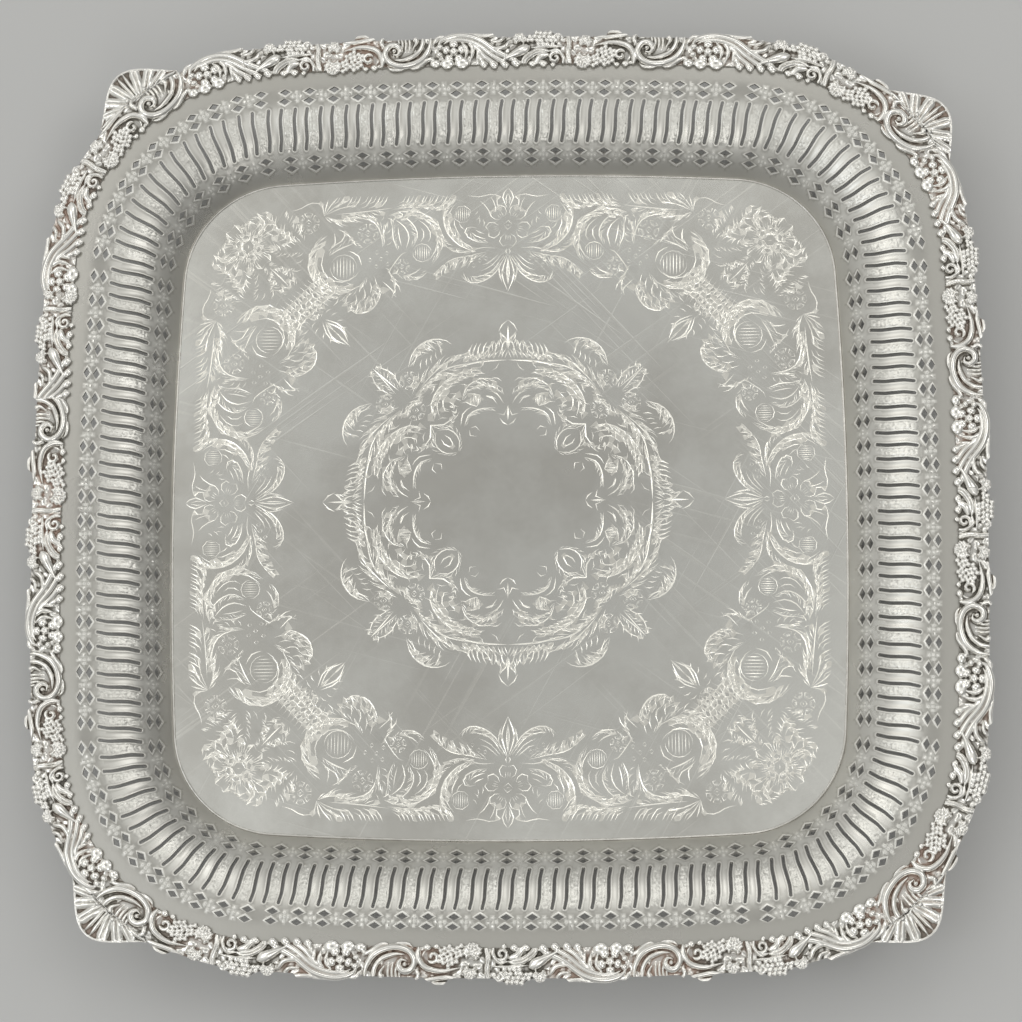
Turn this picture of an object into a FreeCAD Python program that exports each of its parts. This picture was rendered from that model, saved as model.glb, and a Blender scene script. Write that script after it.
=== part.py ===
"""Square silver salver with a pierced gallery, a cast border and four cast feet.

A flat field plate is ringed by a gallery of pierced sheet, which rises in one convex sweep and turns out
into a flat flange. Cast border lengths are soldered end to end on the flange, with a crest outside each
corner and a stiffening wire below. A bead hides the seam between field and gallery. Four scroll feet hang
from pads under the field. Nothing moves.

Frame, in millimetres: +Z up, origin at the centre of the plane that the feet stand on, south side at -Y.
Every ring of the salver is the field's edge pushed out by a distance called reach. The field's edge has
four slightly bowed sides, joined by tangent corner arcs, so each ring is arcs about the same eight centres.
"""

import FreeCAD, Part
import math
import os

V = FreeCAD.Vector

# Field
FIELD_HALF = 145.0
SIDE_R = 1725.0
CORNER_CENTRE_AT = 97.0
FIELD_THICK = 1.4
LEDGE_DROP = 0.8
LEDGE_REACH = 3.0
BEAD_WIDTH = 1.0
BEAD_PROUD = 0.05

# Gallery
SHEET = 1.2
CROWN_REACH = 38.0
CROWN_RISE = 19.7
FLANGE_REACH = 55.0

# Piercing: slots stand in pairs, diamonds in columns of two.
# The counts are of slot pairs, inner columns and outer columns.
SLOT_IN, SLOT_OUT = 11.2, 28.4
SLOT_WIDTH = 1.3
SLOT_HOOK = 1.1
SLOT_LEAN = 0.25
SLOT_PAIR_GAP = 0.54
INNER_DIAMOND = 2.4, 1.1
INNER_ROWS = 5.1, 8.3
OUTER_DIAMOND = 2.3, 1.35
OUTER_ROWS = 31.3, 35.3
OUTER_LEAN = 0.25
SIDE_COUNTS = 18, 19, 19
CORNER_COUNTS = 8, 7, 11

# Cast border, in three equal lengths to each quarter of the salver
BORDER_THICK = 3.4
BORDER_IN, BORDER_OUT = 41.2, 57.8
BORDER_REF = 49.0
LENGTHS_PER_QUARTER = 3
WAVE_OUT, WAVE_IN = 0.7, 0.5
OUTLINE_STEPS = 24
BORDER_SEAM = 0.02

# Crest outside each corner, off the corner's middle because the border's pattern drifts round the salver
CREST_HEIGHT, CREST_SPREAD, CREST_ROOT = 11.8, 15.0, 3.0
CREST_HALF = 28.0
CREST_THICK = 2.8
CREST_SHIFTS = -6.0, -13.0, -10.0, 6.0

# Stiffening wire under the flange
WIRE_R = 1.3
WIRE_REACH = 53.0

# Feet
FOOT_HEIGHT = 17.0
PAD_THICK = 1.6
PAD_LONG, PAD_WIDE = 13.5, 10.5
PAD_AT = 160.0
TOE_AT = 168.0
TOE_R, TOE_WIDTH = 4.4, 10.0
SOLE_CUT = 0.7

UP = V(0, 0, 1)
SIDE_CENTRE = V(0, SIDE_R - FIELD_HALF, 0)
CORNER_CENTRE = V(CORNER_CENTRE_AT, -CORNER_CENTRE_AT, 0)
FIELD_CORNER_R = SIDE_R - (SIDE_CENTRE - CORNER_CENTRE).Length
SIDE_ANGLE = math.degrees(math.atan2(CORNER_CENTRE_AT, SIDE_CENTRE.y + CORNER_CENTRE_AT))
CORNER_ANGLE = 90 - 2 * SIDE_ANGLE
FIELD_BOTTOM = FOOT_HEIGHT + PAD_THICK
FIELD_TOP = FIELD_BOTTOM + FIELD_THICK
CROWN_TOP = FIELD_TOP + CROWN_RISE
WALL_R = (CROWN_REACH**2 + CROWN_RISE**2) / (2 * CROWN_RISE)
SIDE_RUN = math.radians(SIDE_ANGLE) * (SIDE_R + BORDER_REF)
CORNER_RUN = math.radians(CORNER_ANGLE) * (FIELD_CORNER_R + BORDER_REF)
LENGTH = (2 * SIDE_RUN + CORNER_RUN) / LENGTHS_PER_QUARTER

SIDES = ("south", "east", "north", "west")
CORNERS = ("south_east", "north_east", "north_west", "south_west")


def save(name, shape):
    shape.exportStep(f"parts/{name}.step")


def turned(shape, angle, centre=V(0, 0, 0)):
    """A copy carried anticlockwise about an upright axis, by an angle in degrees."""
    copy = shape.copy()
    copy.rotate(centre, UP, angle)
    return copy


def line(a, b):
    return Part.LineSegment(a, b).toShape()


def arc(a, middle, b):
    return Part.Arc(a, middle, b).toShape()


def face(edges):
    return Part.Face(Part.Wire(Part.__sortEdges__(edges)))


def section_point(reach, height):
    """A point of a cross-section at the middle of the south side, height measured from the field's top."""
    return V(0, -(FIELD_HALF + reach), FIELD_TOP + height)


def swept_side(shape):
    """What a shape at the middle of the south side sweeps along that side."""
    return turned(shape, -SIDE_ANGLE, SIDE_CENTRE).revolve(SIDE_CENTRE, UP, 2 * SIDE_ANGLE)


def swept_corner(shape):
    """What the same shape sweeps round the south-east corner."""
    return turned(shape, SIDE_ANGLE, SIDE_CENTRE).revolve(CORNER_CENTRE, UP, CORNER_ANGLE)


def all_round(side, corner):
    return [turned(piece, 90 * quarter) for quarter in range(4) for piece in (side, corner)]


def ring_plate(reach, bottom, top):
    """A solid plate whose edge is the ring at a reach."""
    start = V(0, -(FIELD_HALF + reach), bottom)
    point = Part.Vertex(start)
    edges = all_round(swept_side(point), swept_corner(point))
    return face(edges).extrude(V(0, 0, top - bottom))


# Field plate and bead


def field_plate():
    """The flat plate, with a ledge round it that the bead and the gallery stand on."""
    panel = ring_plate(-BEAD_WIDTH, FIELD_BOTTOM, FIELD_TOP)
    ledge = ring_plate(LEDGE_REACH, FIELD_BOTTOM, FIELD_TOP - LEDGE_DROP)
    return panel.fuse(ledge).removeSplitter()


def field_bead():
    """A wire with a round top that fills the joint between field and gallery."""
    low_in = section_point(-BEAD_WIDTH, -LEDGE_DROP)
    low_out = section_point(0, -LEDGE_DROP)
    high_out = section_point(0, BEAD_PROUD)
    high_in = section_point(-BEAD_WIDTH, BEAD_PROUD)
    crest = section_point(-BEAD_WIDTH / 2, BEAD_PROUD + BEAD_WIDTH / 2)
    section = face(
        [line(low_in, low_out), line(low_out, high_out), arc(high_out, crest, high_in), line(high_in, low_in)]
    )
    pieces = all_round(swept_side(section), swept_corner(section))
    return pieces[0].multiFuse(pieces[1:]).removeSplitter()


# Gallery


def gallery_section():
    """The sheet's cross-section: foot on the ledge, convex wall, crown and flat flange."""
    centre_height = CROWN_RISE - WALL_R
    under_r = WALL_R - SHEET
    foot_reach = CROWN_REACH - math.sqrt(under_r**2 - (LEDGE_DROP + centre_height) ** 2)

    def half_way(radius, low_reach):
        angle = (math.acos((CROWN_REACH - low_reach) / radius) + math.pi / 2) / 2
        return section_point(CROWN_REACH - radius * math.cos(angle), centre_height + radius * math.sin(angle))

    wall_foot, wall_crown = section_point(0, 0), section_point(CROWN_REACH, CROWN_RISE)
    edge_top = section_point(FLANGE_REACH, CROWN_RISE)
    edge_under = section_point(FLANGE_REACH, CROWN_RISE - SHEET)
    under_crown = section_point(CROWN_REACH, CROWN_RISE - SHEET)
    under_foot, seat = section_point(foot_reach, -LEDGE_DROP), section_point(0, -LEDGE_DROP)
    return face(
        [
            arc(wall_foot, half_way(WALL_R, 0.0), wall_crown),
            line(wall_crown, edge_top),
            line(edge_top, edge_under),
            line(edge_under, under_crown),
            arc(under_crown, half_way(under_r, foot_reach), under_foot),
            line(under_foot, seat),
            line(seat, wall_foot),
        ]
    )


def punch(edges):
    """A tool that cuts an outline, drawn at height 0, straight down through the gallery."""
    outline = face(edges)
    outline.translate(V(0, 0, FIELD_TOP - 2))
    return outline.extrude(V(0, 0, CROWN_RISE + 4))


def slot_punch():
    """One slot at x = 0: straight in the middle, hooked to opposite hands at its two ends."""
    bend = (SLOT_OUT - SLOT_IN) * 0.28
    knee = SLOT_HOOK * 0.42 + SLOT_LEAN * 0.5

    def flank(offset):
        def at(reach, shift):
            return V(shift + offset, -(FIELD_HALF + reach), 0)

        inner = [at(SLOT_IN, SLOT_HOOK), at(SLOT_IN + bend * 0.45, knee), at(SLOT_IN + bend, SLOT_LEAN)]
        outer = [at(SLOT_OUT - bend, -SLOT_LEAN), at(SLOT_OUT - bend * 0.45, -knee), at(SLOT_OUT, -SLOT_HOOK)]
        return [arc(*inner), line(inner[2], outer[0]), arc(*outer)], inner[0], outer[2]

    left, left_in, left_out = flank(-SLOT_WIDTH / 2)
    right, right_in, right_out = flank(SLOT_WIDTH / 2)
    return punch(left + right + [line(left_in, right_in), line(left_out, right_out)])


def diamond_punch(reach, half_sizes, shift=0.0):
    middle = V(shift, -(FIELD_HALF + reach), 0)
    along, across = V(half_sizes[0], 0, 0), V(0, half_sizes[1], 0)
    tips = [middle - along, middle - across, middle + along, middle + across]
    return punch([line(a, b) for a, b in zip(tips, tips[1:] + tips[:1])])


def inner_column():
    return [diamond_punch(reach, INNER_DIAMOND) for reach in INNER_ROWS]


def outer_column():
    near, far = OUTER_ROWS
    return [diamond_punch(near, OUTER_DIAMOND, OUTER_LEAN), diamond_punch(far, OUTER_DIAMOND, -OUTER_LEAN)]


def pierced(wall, begin, centre, angle, counts):
    """A wall with its piercing. Tools go to where the wall begins, and are then stepped round its centre."""
    slots, inner, outer = counts
    rows = [(slot_punch(), slots, hand * SLOT_PAIR_GAP / 2) for hand in (-1, 1)]
    rows += [(tool, inner, 0.0) for tool in inner_column()]
    rows += [(tool, outer, 0.0) for tool in outer_column()]
    tools = []
    for tool, count, shift in rows:
        first = turned(tool, begin, SIDE_CENTRE)
        tools += [turned(first, (i + 0.5 + shift) * angle / count, centre) for i in range(count)]
    return wall.cut(tools)


def gallery_side(section):
    return pierced(swept_side(section), -SIDE_ANGLE, SIDE_CENTRE, 2 * SIDE_ANGLE, SIDE_COUNTS)


def gallery_corner(section):
    return pierced(swept_corner(section), SIDE_ANGLE, CORNER_CENTRE, CORNER_ANGLE, CORNER_COUNTS)


# Cast border


def rim_point(run, reach, height=CROWN_TOP):
    """A point at a run along the border's reference ring, eastwards from the middle of the south side."""
    past = run - SIDE_RUN
    if past <= 0:
        angle = run / (SIDE_R + BORDER_REF)
        return SIDE_CENTRE + V(math.sin(angle), -math.cos(angle), 0) * (SIDE_R + reach) + V(0, 0, height)
    angle = past / (FIELD_CORNER_R + BORDER_REF) + math.radians(SIDE_ANGLE)
    outward = V(math.sin(angle), -math.cos(angle), 0)
    return CORNER_CENTRE + outward * (FIELD_CORNER_R + reach) + V(0, 0, height)


def outer_reach(local):
    """The scalloped outer edge at a distance from the middle of a border length."""
    phase = 2 * math.pi * local / LENGTH
    return BORDER_OUT - WAVE_OUT * math.cos(phase + 0.9) - 0.4 * WAVE_OUT * math.cos(3 * phase)


def inner_reach(local):
    phase = 2 * math.pi * local / LENGTH
    return BORDER_IN + WAVE_IN * math.cos(2 * phase) - 0.4 * WAVE_IN * math.cos(5 * phase)


def smooth_slab(near, far, thick):
    """A slab between two smooth curves through points, closed by straight ends."""
    curves = []
    for points in (near, far):
        spline = Part.BSplineCurve()
        spline.interpolate(points)
        curves.append(spline.toShape())
    return face(curves + [line(near[k], far[k]) for k in (0, -1)]).extrude(V(0, 0, thick))


def border_length(middle):
    """One cast length, centred at a run along the reference ring, as a slab of its true outline."""
    half = LENGTH / 2 - BORDER_SEAM
    local = [half * (2 * i / OUTLINE_STEPS - 1) for i in range(OUTLINE_STEPS + 1)]
    inside = [rim_point(middle + x, inner_reach(x)) for x in local]
    outside = [rim_point(middle + x, outer_reach(x)) for x in local]
    return smooth_slab(inside, outside, BORDER_THICK)


def corner_crest(border_corner, middle):
    """The bell-shaped crest that stands out past the corner length of the border and touches its edge."""
    local = [CREST_HALF * (2 * i / OUTLINE_STEPS - 1) for i in range(OUTLINE_STEPS + 1)]
    root = BORDER_OUT - CREST_ROOT
    peak = CREST_HEIGHT + CREST_ROOT
    inside = [rim_point(middle + x, root - 1.0) for x in local]
    outside = [rim_point(middle + x, root + peak * math.exp(-((x / CREST_SPREAD) ** 2))) for x in local]
    return smooth_slab(inside, outside, CREST_THICK).cut(border_corner)


# Stiffening wire


def rim_wire():
    """A quarter of the wire under the flange, from the middle of the south side to that of the east side."""
    centre = section_point(WIRE_REACH, CROWN_RISE - SHEET - WIRE_R)
    disc = face([Part.Circle(centre, V(1, 0, 0), WIRE_R).toShape()])
    south = disc.revolve(SIDE_CENTRE, UP, SIDE_ANGLE)
    east = turned(turned(disc, -SIDE_ANGLE, SIDE_CENTRE).revolve(SIDE_CENTRE, UP, SIDE_ANGLE), 90)
    return south.multiFuse([swept_corner(disc), east]).removeSplitter()


# Feet


def ellipse(at, height, long_half, wide_half):
    return Part.Wire([Part.Ellipse(V(at, 0, height), long_half, wide_half).toShape()])


def foot_pad():
    """The oval pad under the field, with the outward direction along +X."""
    return Part.Face(ellipse(PAD_AT, FOOT_HEIGHT, PAD_LONG, PAD_WIDE)).extrude(V(0, 0, PAD_THICK))


def foot():
    """A leg that sweeps down and outwards, +X, to a rolled toe with a small flat sole."""
    leg = Part.makeLoft(
        [
            ellipse(PAD_AT, FOOT_HEIGHT, 10.0, 8.0),
            ellipse(PAD_AT + 1.5, FOOT_HEIGHT * 0.72, 6.4, 5.2),
            ellipse(PAD_AT + 4.7, FOOT_HEIGHT * 0.42, 4.5, 4.2),
            ellipse(TOE_AT, TOE_R, 4.0, 3.8),
        ],
        True,
    )
    toe = Part.makeCylinder(TOE_R, TOE_WIDTH, V(TOE_AT, -TOE_WIDTH / 2, TOE_R - SOLE_CUT), V(0, 1, 0))
    below = Part.makeBox(60, 60, 10, V(TOE_AT - 30, -30, -10))
    return leg.fuse(toe).cut(below).removeSplitter()


def main():
    os.makedirs("parts", exist_ok=True)
    save("field_plate", field_plate())
    save("field_bead", field_bead())
    section = gallery_section()
    corner_middle = LENGTH * 1.5
    border_corner = border_length(corner_middle)
    by_side = {
        "gallery_{}": gallery_side(section),
        "border_{}_first": border_length(-LENGTH / 2),
        "border_{}_second": border_length(LENGTH / 2),
    }
    by_corner = {
        "gallery_corner_{}": gallery_corner(section),
        "border_corner_{}": border_corner,
        "rim_wire_{}": rim_wire(),
        "foot_{}": turned(foot(), -45),
        "foot_pad_{}": turned(foot_pad(), -45),
    }
    for places, pieces in ((SIDES, by_side), (CORNERS, by_corner)):
        for name, piece in pieces.items():
            for quarter, place in enumerate(places):
                save(name.format(place), turned(piece, 90 * quarter))
    for quarter, shift in enumerate(CREST_SHIFTS):
        crest = corner_crest(border_corner, corner_middle + shift)
        save(f"corner_crest_{CORNERS[quarter]}", turned(crest, 90 * quarter))


main()
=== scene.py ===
import math
import bpy
import numpy as np
from mathutils import Matrix, Vector
from mathutils.geometry import delaunay_2d_cdt


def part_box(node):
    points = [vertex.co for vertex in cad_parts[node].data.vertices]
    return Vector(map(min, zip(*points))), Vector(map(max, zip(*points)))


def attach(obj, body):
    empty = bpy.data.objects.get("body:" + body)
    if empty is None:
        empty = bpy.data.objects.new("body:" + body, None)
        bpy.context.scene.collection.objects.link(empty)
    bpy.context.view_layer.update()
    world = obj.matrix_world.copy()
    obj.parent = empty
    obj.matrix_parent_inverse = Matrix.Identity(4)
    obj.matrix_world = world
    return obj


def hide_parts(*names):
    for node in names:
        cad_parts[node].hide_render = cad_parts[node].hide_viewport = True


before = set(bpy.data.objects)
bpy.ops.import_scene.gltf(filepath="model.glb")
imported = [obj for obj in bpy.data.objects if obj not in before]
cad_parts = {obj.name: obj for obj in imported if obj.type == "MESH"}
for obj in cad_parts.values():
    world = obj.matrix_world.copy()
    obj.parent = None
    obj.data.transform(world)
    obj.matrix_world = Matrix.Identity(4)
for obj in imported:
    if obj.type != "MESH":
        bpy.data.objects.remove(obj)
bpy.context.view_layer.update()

RNG = np.random.default_rng(7)

# Shapes are worked out in millimetres and written to the meshes in metres.
MM = 0.001

SIDES = ("south", "east", "north", "west")
CORNERS = ("south_east", "north_east", "north_west", "south_west")

# Ring geometry: four bowed sides joined by corner arcs. A run goes round the ring, and a reach goes outwards
# from the edge of the field. Heights and outer reaches come from the CAD boxes.
FIELD_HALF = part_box("field_bead")[1][0] / MM
FIELD_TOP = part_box("field_plate")[1][2] / MM
FIELD_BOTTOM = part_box("field_plate")[0][2] / MM
LEDGE_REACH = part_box("field_plate")[1][0] / MM - FIELD_HALF
FLANGE_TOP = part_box("gallery_south")[1][2] / MM
FLANGE_REACH = -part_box("gallery_south")[0][1] / MM - FIELD_HALF
BORDER_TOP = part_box("border_south_first")[1][2] / MM
BORDER_REACH = -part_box("border_south_first")[0][1] / MM - FIELD_HALF
CREST_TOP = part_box("corner_crest_south_east")[1][2] / MM
SIDE_R = 1725.0
CORNER_AT = 97.0  # centre of each corner arc, both ways from the middle
SIDE_CENTRE_Y = SIDE_R - FIELD_HALF
CORNER_R = SIDE_R - math.hypot(CORNER_AT, SIDE_CENTRE_Y + CORNER_AT)
SIDE_ANGLE = math.atan2(CORNER_AT, SIDE_CENTRE_Y + CORNER_AT)
CORNER_ANGLE = math.pi / 2 - 2 * SIDE_ANGLE
REF = 49.0  # reach at which runs are measured
SIDE_RUN = SIDE_ANGLE * (SIDE_R + REF)
CORNER_RUN = CORNER_ANGLE * (CORNER_R + REF)
QUARTER = 2 * SIDE_RUN + CORNER_RUN
RING = 4 * QUARTER

# The field's top ends in a step down to the ledge that the gallery stands on
STEP_REACH = -1.0
LEDGE_TOP = FIELD_TOP - 0.8

# Gallery section: an arc that sweeps up to a flat flange
SHEET = 1.2
CROWN_REACH = 38.0
CROWN_RISE = FLANGE_TOP - FIELD_TOP
WALL_R = (CROWN_REACH**2 + CROWN_RISE**2) / (2 * CROWN_RISE)


def ring_xy(run, reach):
    """Plan position at a run round the reference ring, from the middle of the south side, and a reach."""
    run, reach = np.broadcast_arrays(np.asarray(run, float), np.asarray(reach, float))
    quarter = np.floor((run + SIDE_RUN) / QUARTER)
    local = run - quarter * QUARTER
    side = local / (SIDE_R + REF)
    corner = (local - SIDE_RUN) / (CORNER_R + REF) + SIDE_ANGLE
    on_side = local <= SIDE_RUN
    angle = np.where(on_side, side, corner)
    radius = np.where(on_side, SIDE_R, CORNER_R) + reach
    x = np.where(on_side, 0.0, CORNER_AT) + np.sin(angle) * radius
    y = np.where(on_side, SIDE_CENTRE_Y, -CORNER_AT) - np.cos(angle) * radius
    turn = quarter * (math.pi / 2)
    c, s = np.cos(turn), np.sin(turn)
    return x * c - y * s, x * s + y * c


def turned(xyz, quarter):
    """Points carried anticlockwise by quarter turns."""
    angle = quarter * math.pi / 2
    c, s = round(math.cos(angle)), round(math.sin(angle))
    out = xyz.copy()
    out[:, 0] = xyz[:, 0] * c - xyz[:, 1] * s
    out[:, 1] = xyz[:, 0] * s + xyz[:, 1] * c
    return out


def place_key(point, digits=4):
    """A flat point's place, rounded so that the same place in another mesh gives the same key."""
    return round(float(point[0]), digits), round(float(point[1]), digits)


def smooth_step(low, high, value):
    """A smooth rise from 0 at low to 1 at high."""
    t = np.clip((value - low) / (high - low), 0.0, 1.0)
    return t * t * (3 - 2 * t)


# Making pieces


def piece(name, xyz, faces, material, replaces=(), shade=None, sharp=None):
    """A closed mesh riding on the root body.

    shade is a value for each vertex or face, for its material. sharp is the angle past which an edge shows.
    """
    mesh = bpy.data.meshes.new(name)
    mesh.from_pydata((np.asarray(xyz) * MM).tolist(), [], faces)
    mesh.update()
    mesh.polygons.foreach_set("use_smooth", [True] * len(mesh.polygons))
    if sharp is not None:
        mesh.set_sharp_from_angle(angle=math.radians(sharp))
    if shade is not None:
        domain = "POINT" if len(shade) == len(mesh.vertices) else "FACE"
        layer = mesh.attributes.new("shade", "FLOAT", domain)
        layer.data.foreach_set("value", np.asarray(shade, np.float32))
    mesh.materials.append(material)
    obj = bpy.data.objects.new(name, mesh)
    bpy.context.scene.collection.objects.link(obj)
    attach(obj, "root")
    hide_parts(*replaces)
    return obj


def tube_faces(rings, around, first=0, closed=False, flip=False):
    """Quads from each ring of points to the next, with a lid on each end unless the tube is closed.

    flip turns the faces over, for rings whose points run the other way round.
    """
    faces = []
    for i in range(rings if closed else rings - 1):
        a, b = first + i * around, first + (i + 1) % rings * around
        for j in range(around):
            k = (j + 1) % around
            faces.append((a + j, b + j, b + k, a + k) if flip else (a + j, a + k, b + k, b + j))
    if not closed:
        start = range(first, first + around)
        end = range(first + (rings - 1) * around, first + rings * around)
        faces += [tuple(start), tuple(end[::-1])] if flip else [tuple(start[::-1]), tuple(end)]
    return faces


def circle(count):
    """Angles once round."""
    return np.linspace(0, 2 * math.pi, count, endpoint=False)


# Materials


class Nodes:
    """A short way to write the node tree of a material or world."""

    def __init__(self, owner, coords="Object"):
        owner.use_nodes = True
        self.owner = owner
        self.tree = owner.node_tree
        self.tree.nodes.clear()
        self.coords = self.add("TexCoord").outputs[coords]

    def add(self, kind, inputs=(), **settings):
        """A node with its settings made, and its inputs linked to sockets or set to values."""
        node = self.tree.nodes.new(f"ShaderNode{kind}")
        for key, value in settings.items():
            setattr(node, key, value)
        for key, value in dict(inputs).items():
            if isinstance(value, bpy.types.NodeSocket):
                self.tree.links.new(value, node.inputs[key])
            else:
                node.inputs[key].default_value = value
        return node

    def stretched(self, turn, stretch):
        """Coordinates turned in plan, then stretched along the new y."""
        inputs = {"Vector": self.coords, "Rotation": (0.0, 0.0, turn), "Scale": (1.0, stretch, 1.0)}
        return self.add("Mapping", inputs, vector_type="TEXTURE").outputs["Vector"]

    def noise(self, scale, detail=3.0, rough=0.5, vector=None):
        inputs = {"Vector": vector or self.coords, "Scale": scale, "Detail": detail, "Roughness": rough}
        return self.add("TexNoise", inputs).outputs["Fac"]

    def ramp(self, value, stops):
        """A colour ramp; a stop's colour is three numbers, or one for a grey."""
        node = self.add("ValToRGB", {"Fac": value})
        elements = node.color_ramp.elements
        while len(elements) < len(stops):
            elements.new(0.5)
        for element, (place, colour) in zip(elements, stops):
            element.position = place
            element.color = (*colour, 1.0) if isinstance(colour, tuple) else (colour, colour, colour, 1.0)
        return node.outputs["Color"]

    def maths(self, operation, a, b):
        return self.add("Math", {0: a, 1: b}, operation=operation).outputs["Value"]

    def mix(self, share, a, b):
        a, b = ((*value, 1.0) if isinstance(value, tuple) else value for value in (a, b))
        return self.add("Mix", {"Factor": share, "A": a, "B": b}, data_type="RGBA").outputs["Result"]

    def shade(self):
        """The value that piece() stores on each vertex or face."""
        return self.add("Attribute", attribute_name="shade").outputs["Fac"]

    def bump(self, height, strength, distance, **normal):
        inputs = {"Height": height, "Strength": strength, "Distance": distance, **normal}
        return self.add("Bump", inputs).outputs["Normal"]

    def surface(self, **inputs):
        """Ends a material with a Principled shader."""
        inputs = {key.replace("_", " "): value for key, value in inputs.items()}
        shader = self.add("BsdfPrincipled", inputs)
        self.add("OutputMaterial", {"Surface": shader.outputs["BSDF"]})
        return self.owner


def material_nodes(name):
    return Nodes(bpy.data.materials.new(name))


# Colour of fresh scratches and of the field's cuts; on the cuts it is partly a painted highlight
BRIGHT = (0.95, 0.93, 0.87)
OXIDE = (0.17, 0.16, 0.14)
COPPER = (0.48, 0.34, 0.28)


def hairlines(nodes, turn, density):
    """Fine scratches in one direction: noise stretched along them, kept only where it peaks."""
    lines = nodes.noise(700.0, 1.0, 0.5, nodes.stretched(turn, 90.0))
    patches = nodes.noise(26.0, 2.0, 0.5, nodes.stretched(turn, 3.0))
    peak = nodes.ramp(lines, ((density, 0.0), (density + 0.05, 1.0)))
    return nodes.maths("MULTIPLY", peak, nodes.ramp(patches, ((0.50, 0.0), (0.66, 1.0))))


def field_material():
    """Worn satin plate: cloudy tone, scratches every way, and bright cuts where shade is 1, painted light
    both as fresh metal and as a painted highlight for the glint of their facets.
    """
    nodes = material_nodes("worn_silver_field")
    clouds = nodes.noise(11.0, 5.0, 0.65)
    tone = nodes.ramp(clouds, ((0.40, (0.61, 0.60, 0.565)), (0.60, (0.83, 0.825, 0.79))))
    scratches = hairlines(nodes, 0.75, 0.64)
    for turn, density in ((-0.5, 0.66), (2.2, 0.65), (1.3, 0.67), (0.95, 0.66)):
        scratches = nodes.maths("MAXIMUM", scratches, hairlines(nodes, turn, density))
    cut = nodes.shade()
    tone = nodes.mix(nodes.maths("MULTIPLY", scratches, 0.20), tone, BRIGHT)
    # The cuts painted light: fresh metal, and a painted highlight standing in for the glint of their facets
    tone = nodes.mix(cut, tone, BRIGHT)
    rough = nodes.mix(cut, nodes.ramp(clouds, ((0.3, 0.28), (0.7, 0.21))), (0.24, 0.24, 0.24))
    normal = nodes.bump(scratches, 0.10, 0.0002)
    normal = nodes.bump(nodes.noise(900.0, 2.0), 0.04, 0.0002, Normal=normal)
    return nodes.surface(Metallic=1.0, Base_Color=tone, Roughness=rough, Normal=normal)


def gallery_material():
    """Polished sheet: dark where shade is above 0, for dirt, a darker flange and painted shade round the
    holes; light down to -1, for matting and painted highlights; painted highlights brighter still beyond
    that.
    """
    nodes = material_nodes("pierced_silver")
    clouds = nodes.noise(30.0, 4.0, 0.6)
    tone = nodes.ramp(clouds, ((0.3, (0.62, 0.61, 0.575)), (0.7, (0.72, 0.71, 0.675))))
    grime_and_shade = nodes.shade()
    # Below 0 the shade lightens the matting and paints highlights on lips, beads and punched points
    matting_and_highlight = nodes.maths("MULTIPLY", grime_and_shade, -1.0)
    tone = nodes.mix(matting_and_highlight, tone, (0.84, 0.83, 0.785))
    # Past -1 the shade paints the brightest highlights, on the tops of lips and beads
    bright = nodes.maths("SUBTRACT", matting_and_highlight, 1.0)
    tone = nodes.mix(bright, tone, (0.97, 0.96, 0.93))
    # Above 0 the shade darkens: dirt and painted shade at the holes' edges, low on the wall and between the
    # punched points, and a darker flange
    tone = nodes.mix(grime_and_shade, tone, (0.26, 0.245, 0.215))
    rough = nodes.mix(matting_and_highlight, nodes.ramp(clouds, ((0.3, 0.34), (0.7, 0.25))), (0.40, 0.40, 0.40))
    rough = nodes.mix(bright, rough, (0.24, 0.24, 0.24))
    normal = nodes.bump(nodes.noise(700.0, 3.0), 0.10, 0.0002)
    return nodes.surface(Metallic=1.0, Base_Color=tone, Roughness=rough, Normal=normal)


def cast_material(name, warmth):
    """Cast ornament: bright on the high parts, oxide in the recesses, with copper showing here and there."""
    nodes = material_nodes(name)
    depth = nodes.shade()
    mottle = nodes.noise(260.0, 4.0, 0.6)
    depth = nodes.maths("ADD", depth, nodes.maths("MULTIPLY", nodes.maths("SUBTRACT", mottle, 0.5), 0.35))
    copper_wear_and_dark_flange = nodes.ramp(nodes.noise(28.0, 3.0), ((0.45, 0.0), (0.65, warmth)))
    dark = nodes.mix(copper_wear_and_dark_flange, OXIDE, COPPER)
    tone = nodes.mix(nodes.ramp(depth, ((0.15, 0.0), (0.75, 1.0))), (0.90, 0.885, 0.85), dark)
    rough = nodes.ramp(depth, ((0.2, 0.17), (0.9, 0.5)))
    normal = nodes.bump(mottle, 0.12, 0.0003)
    return nodes.surface(Metallic=1.0, Base_Color=tone, Roughness=rough, Normal=normal)


# Relief drawing: heights in millimetres on a grid of run by reach

RIDGE_POINTS = 28


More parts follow.
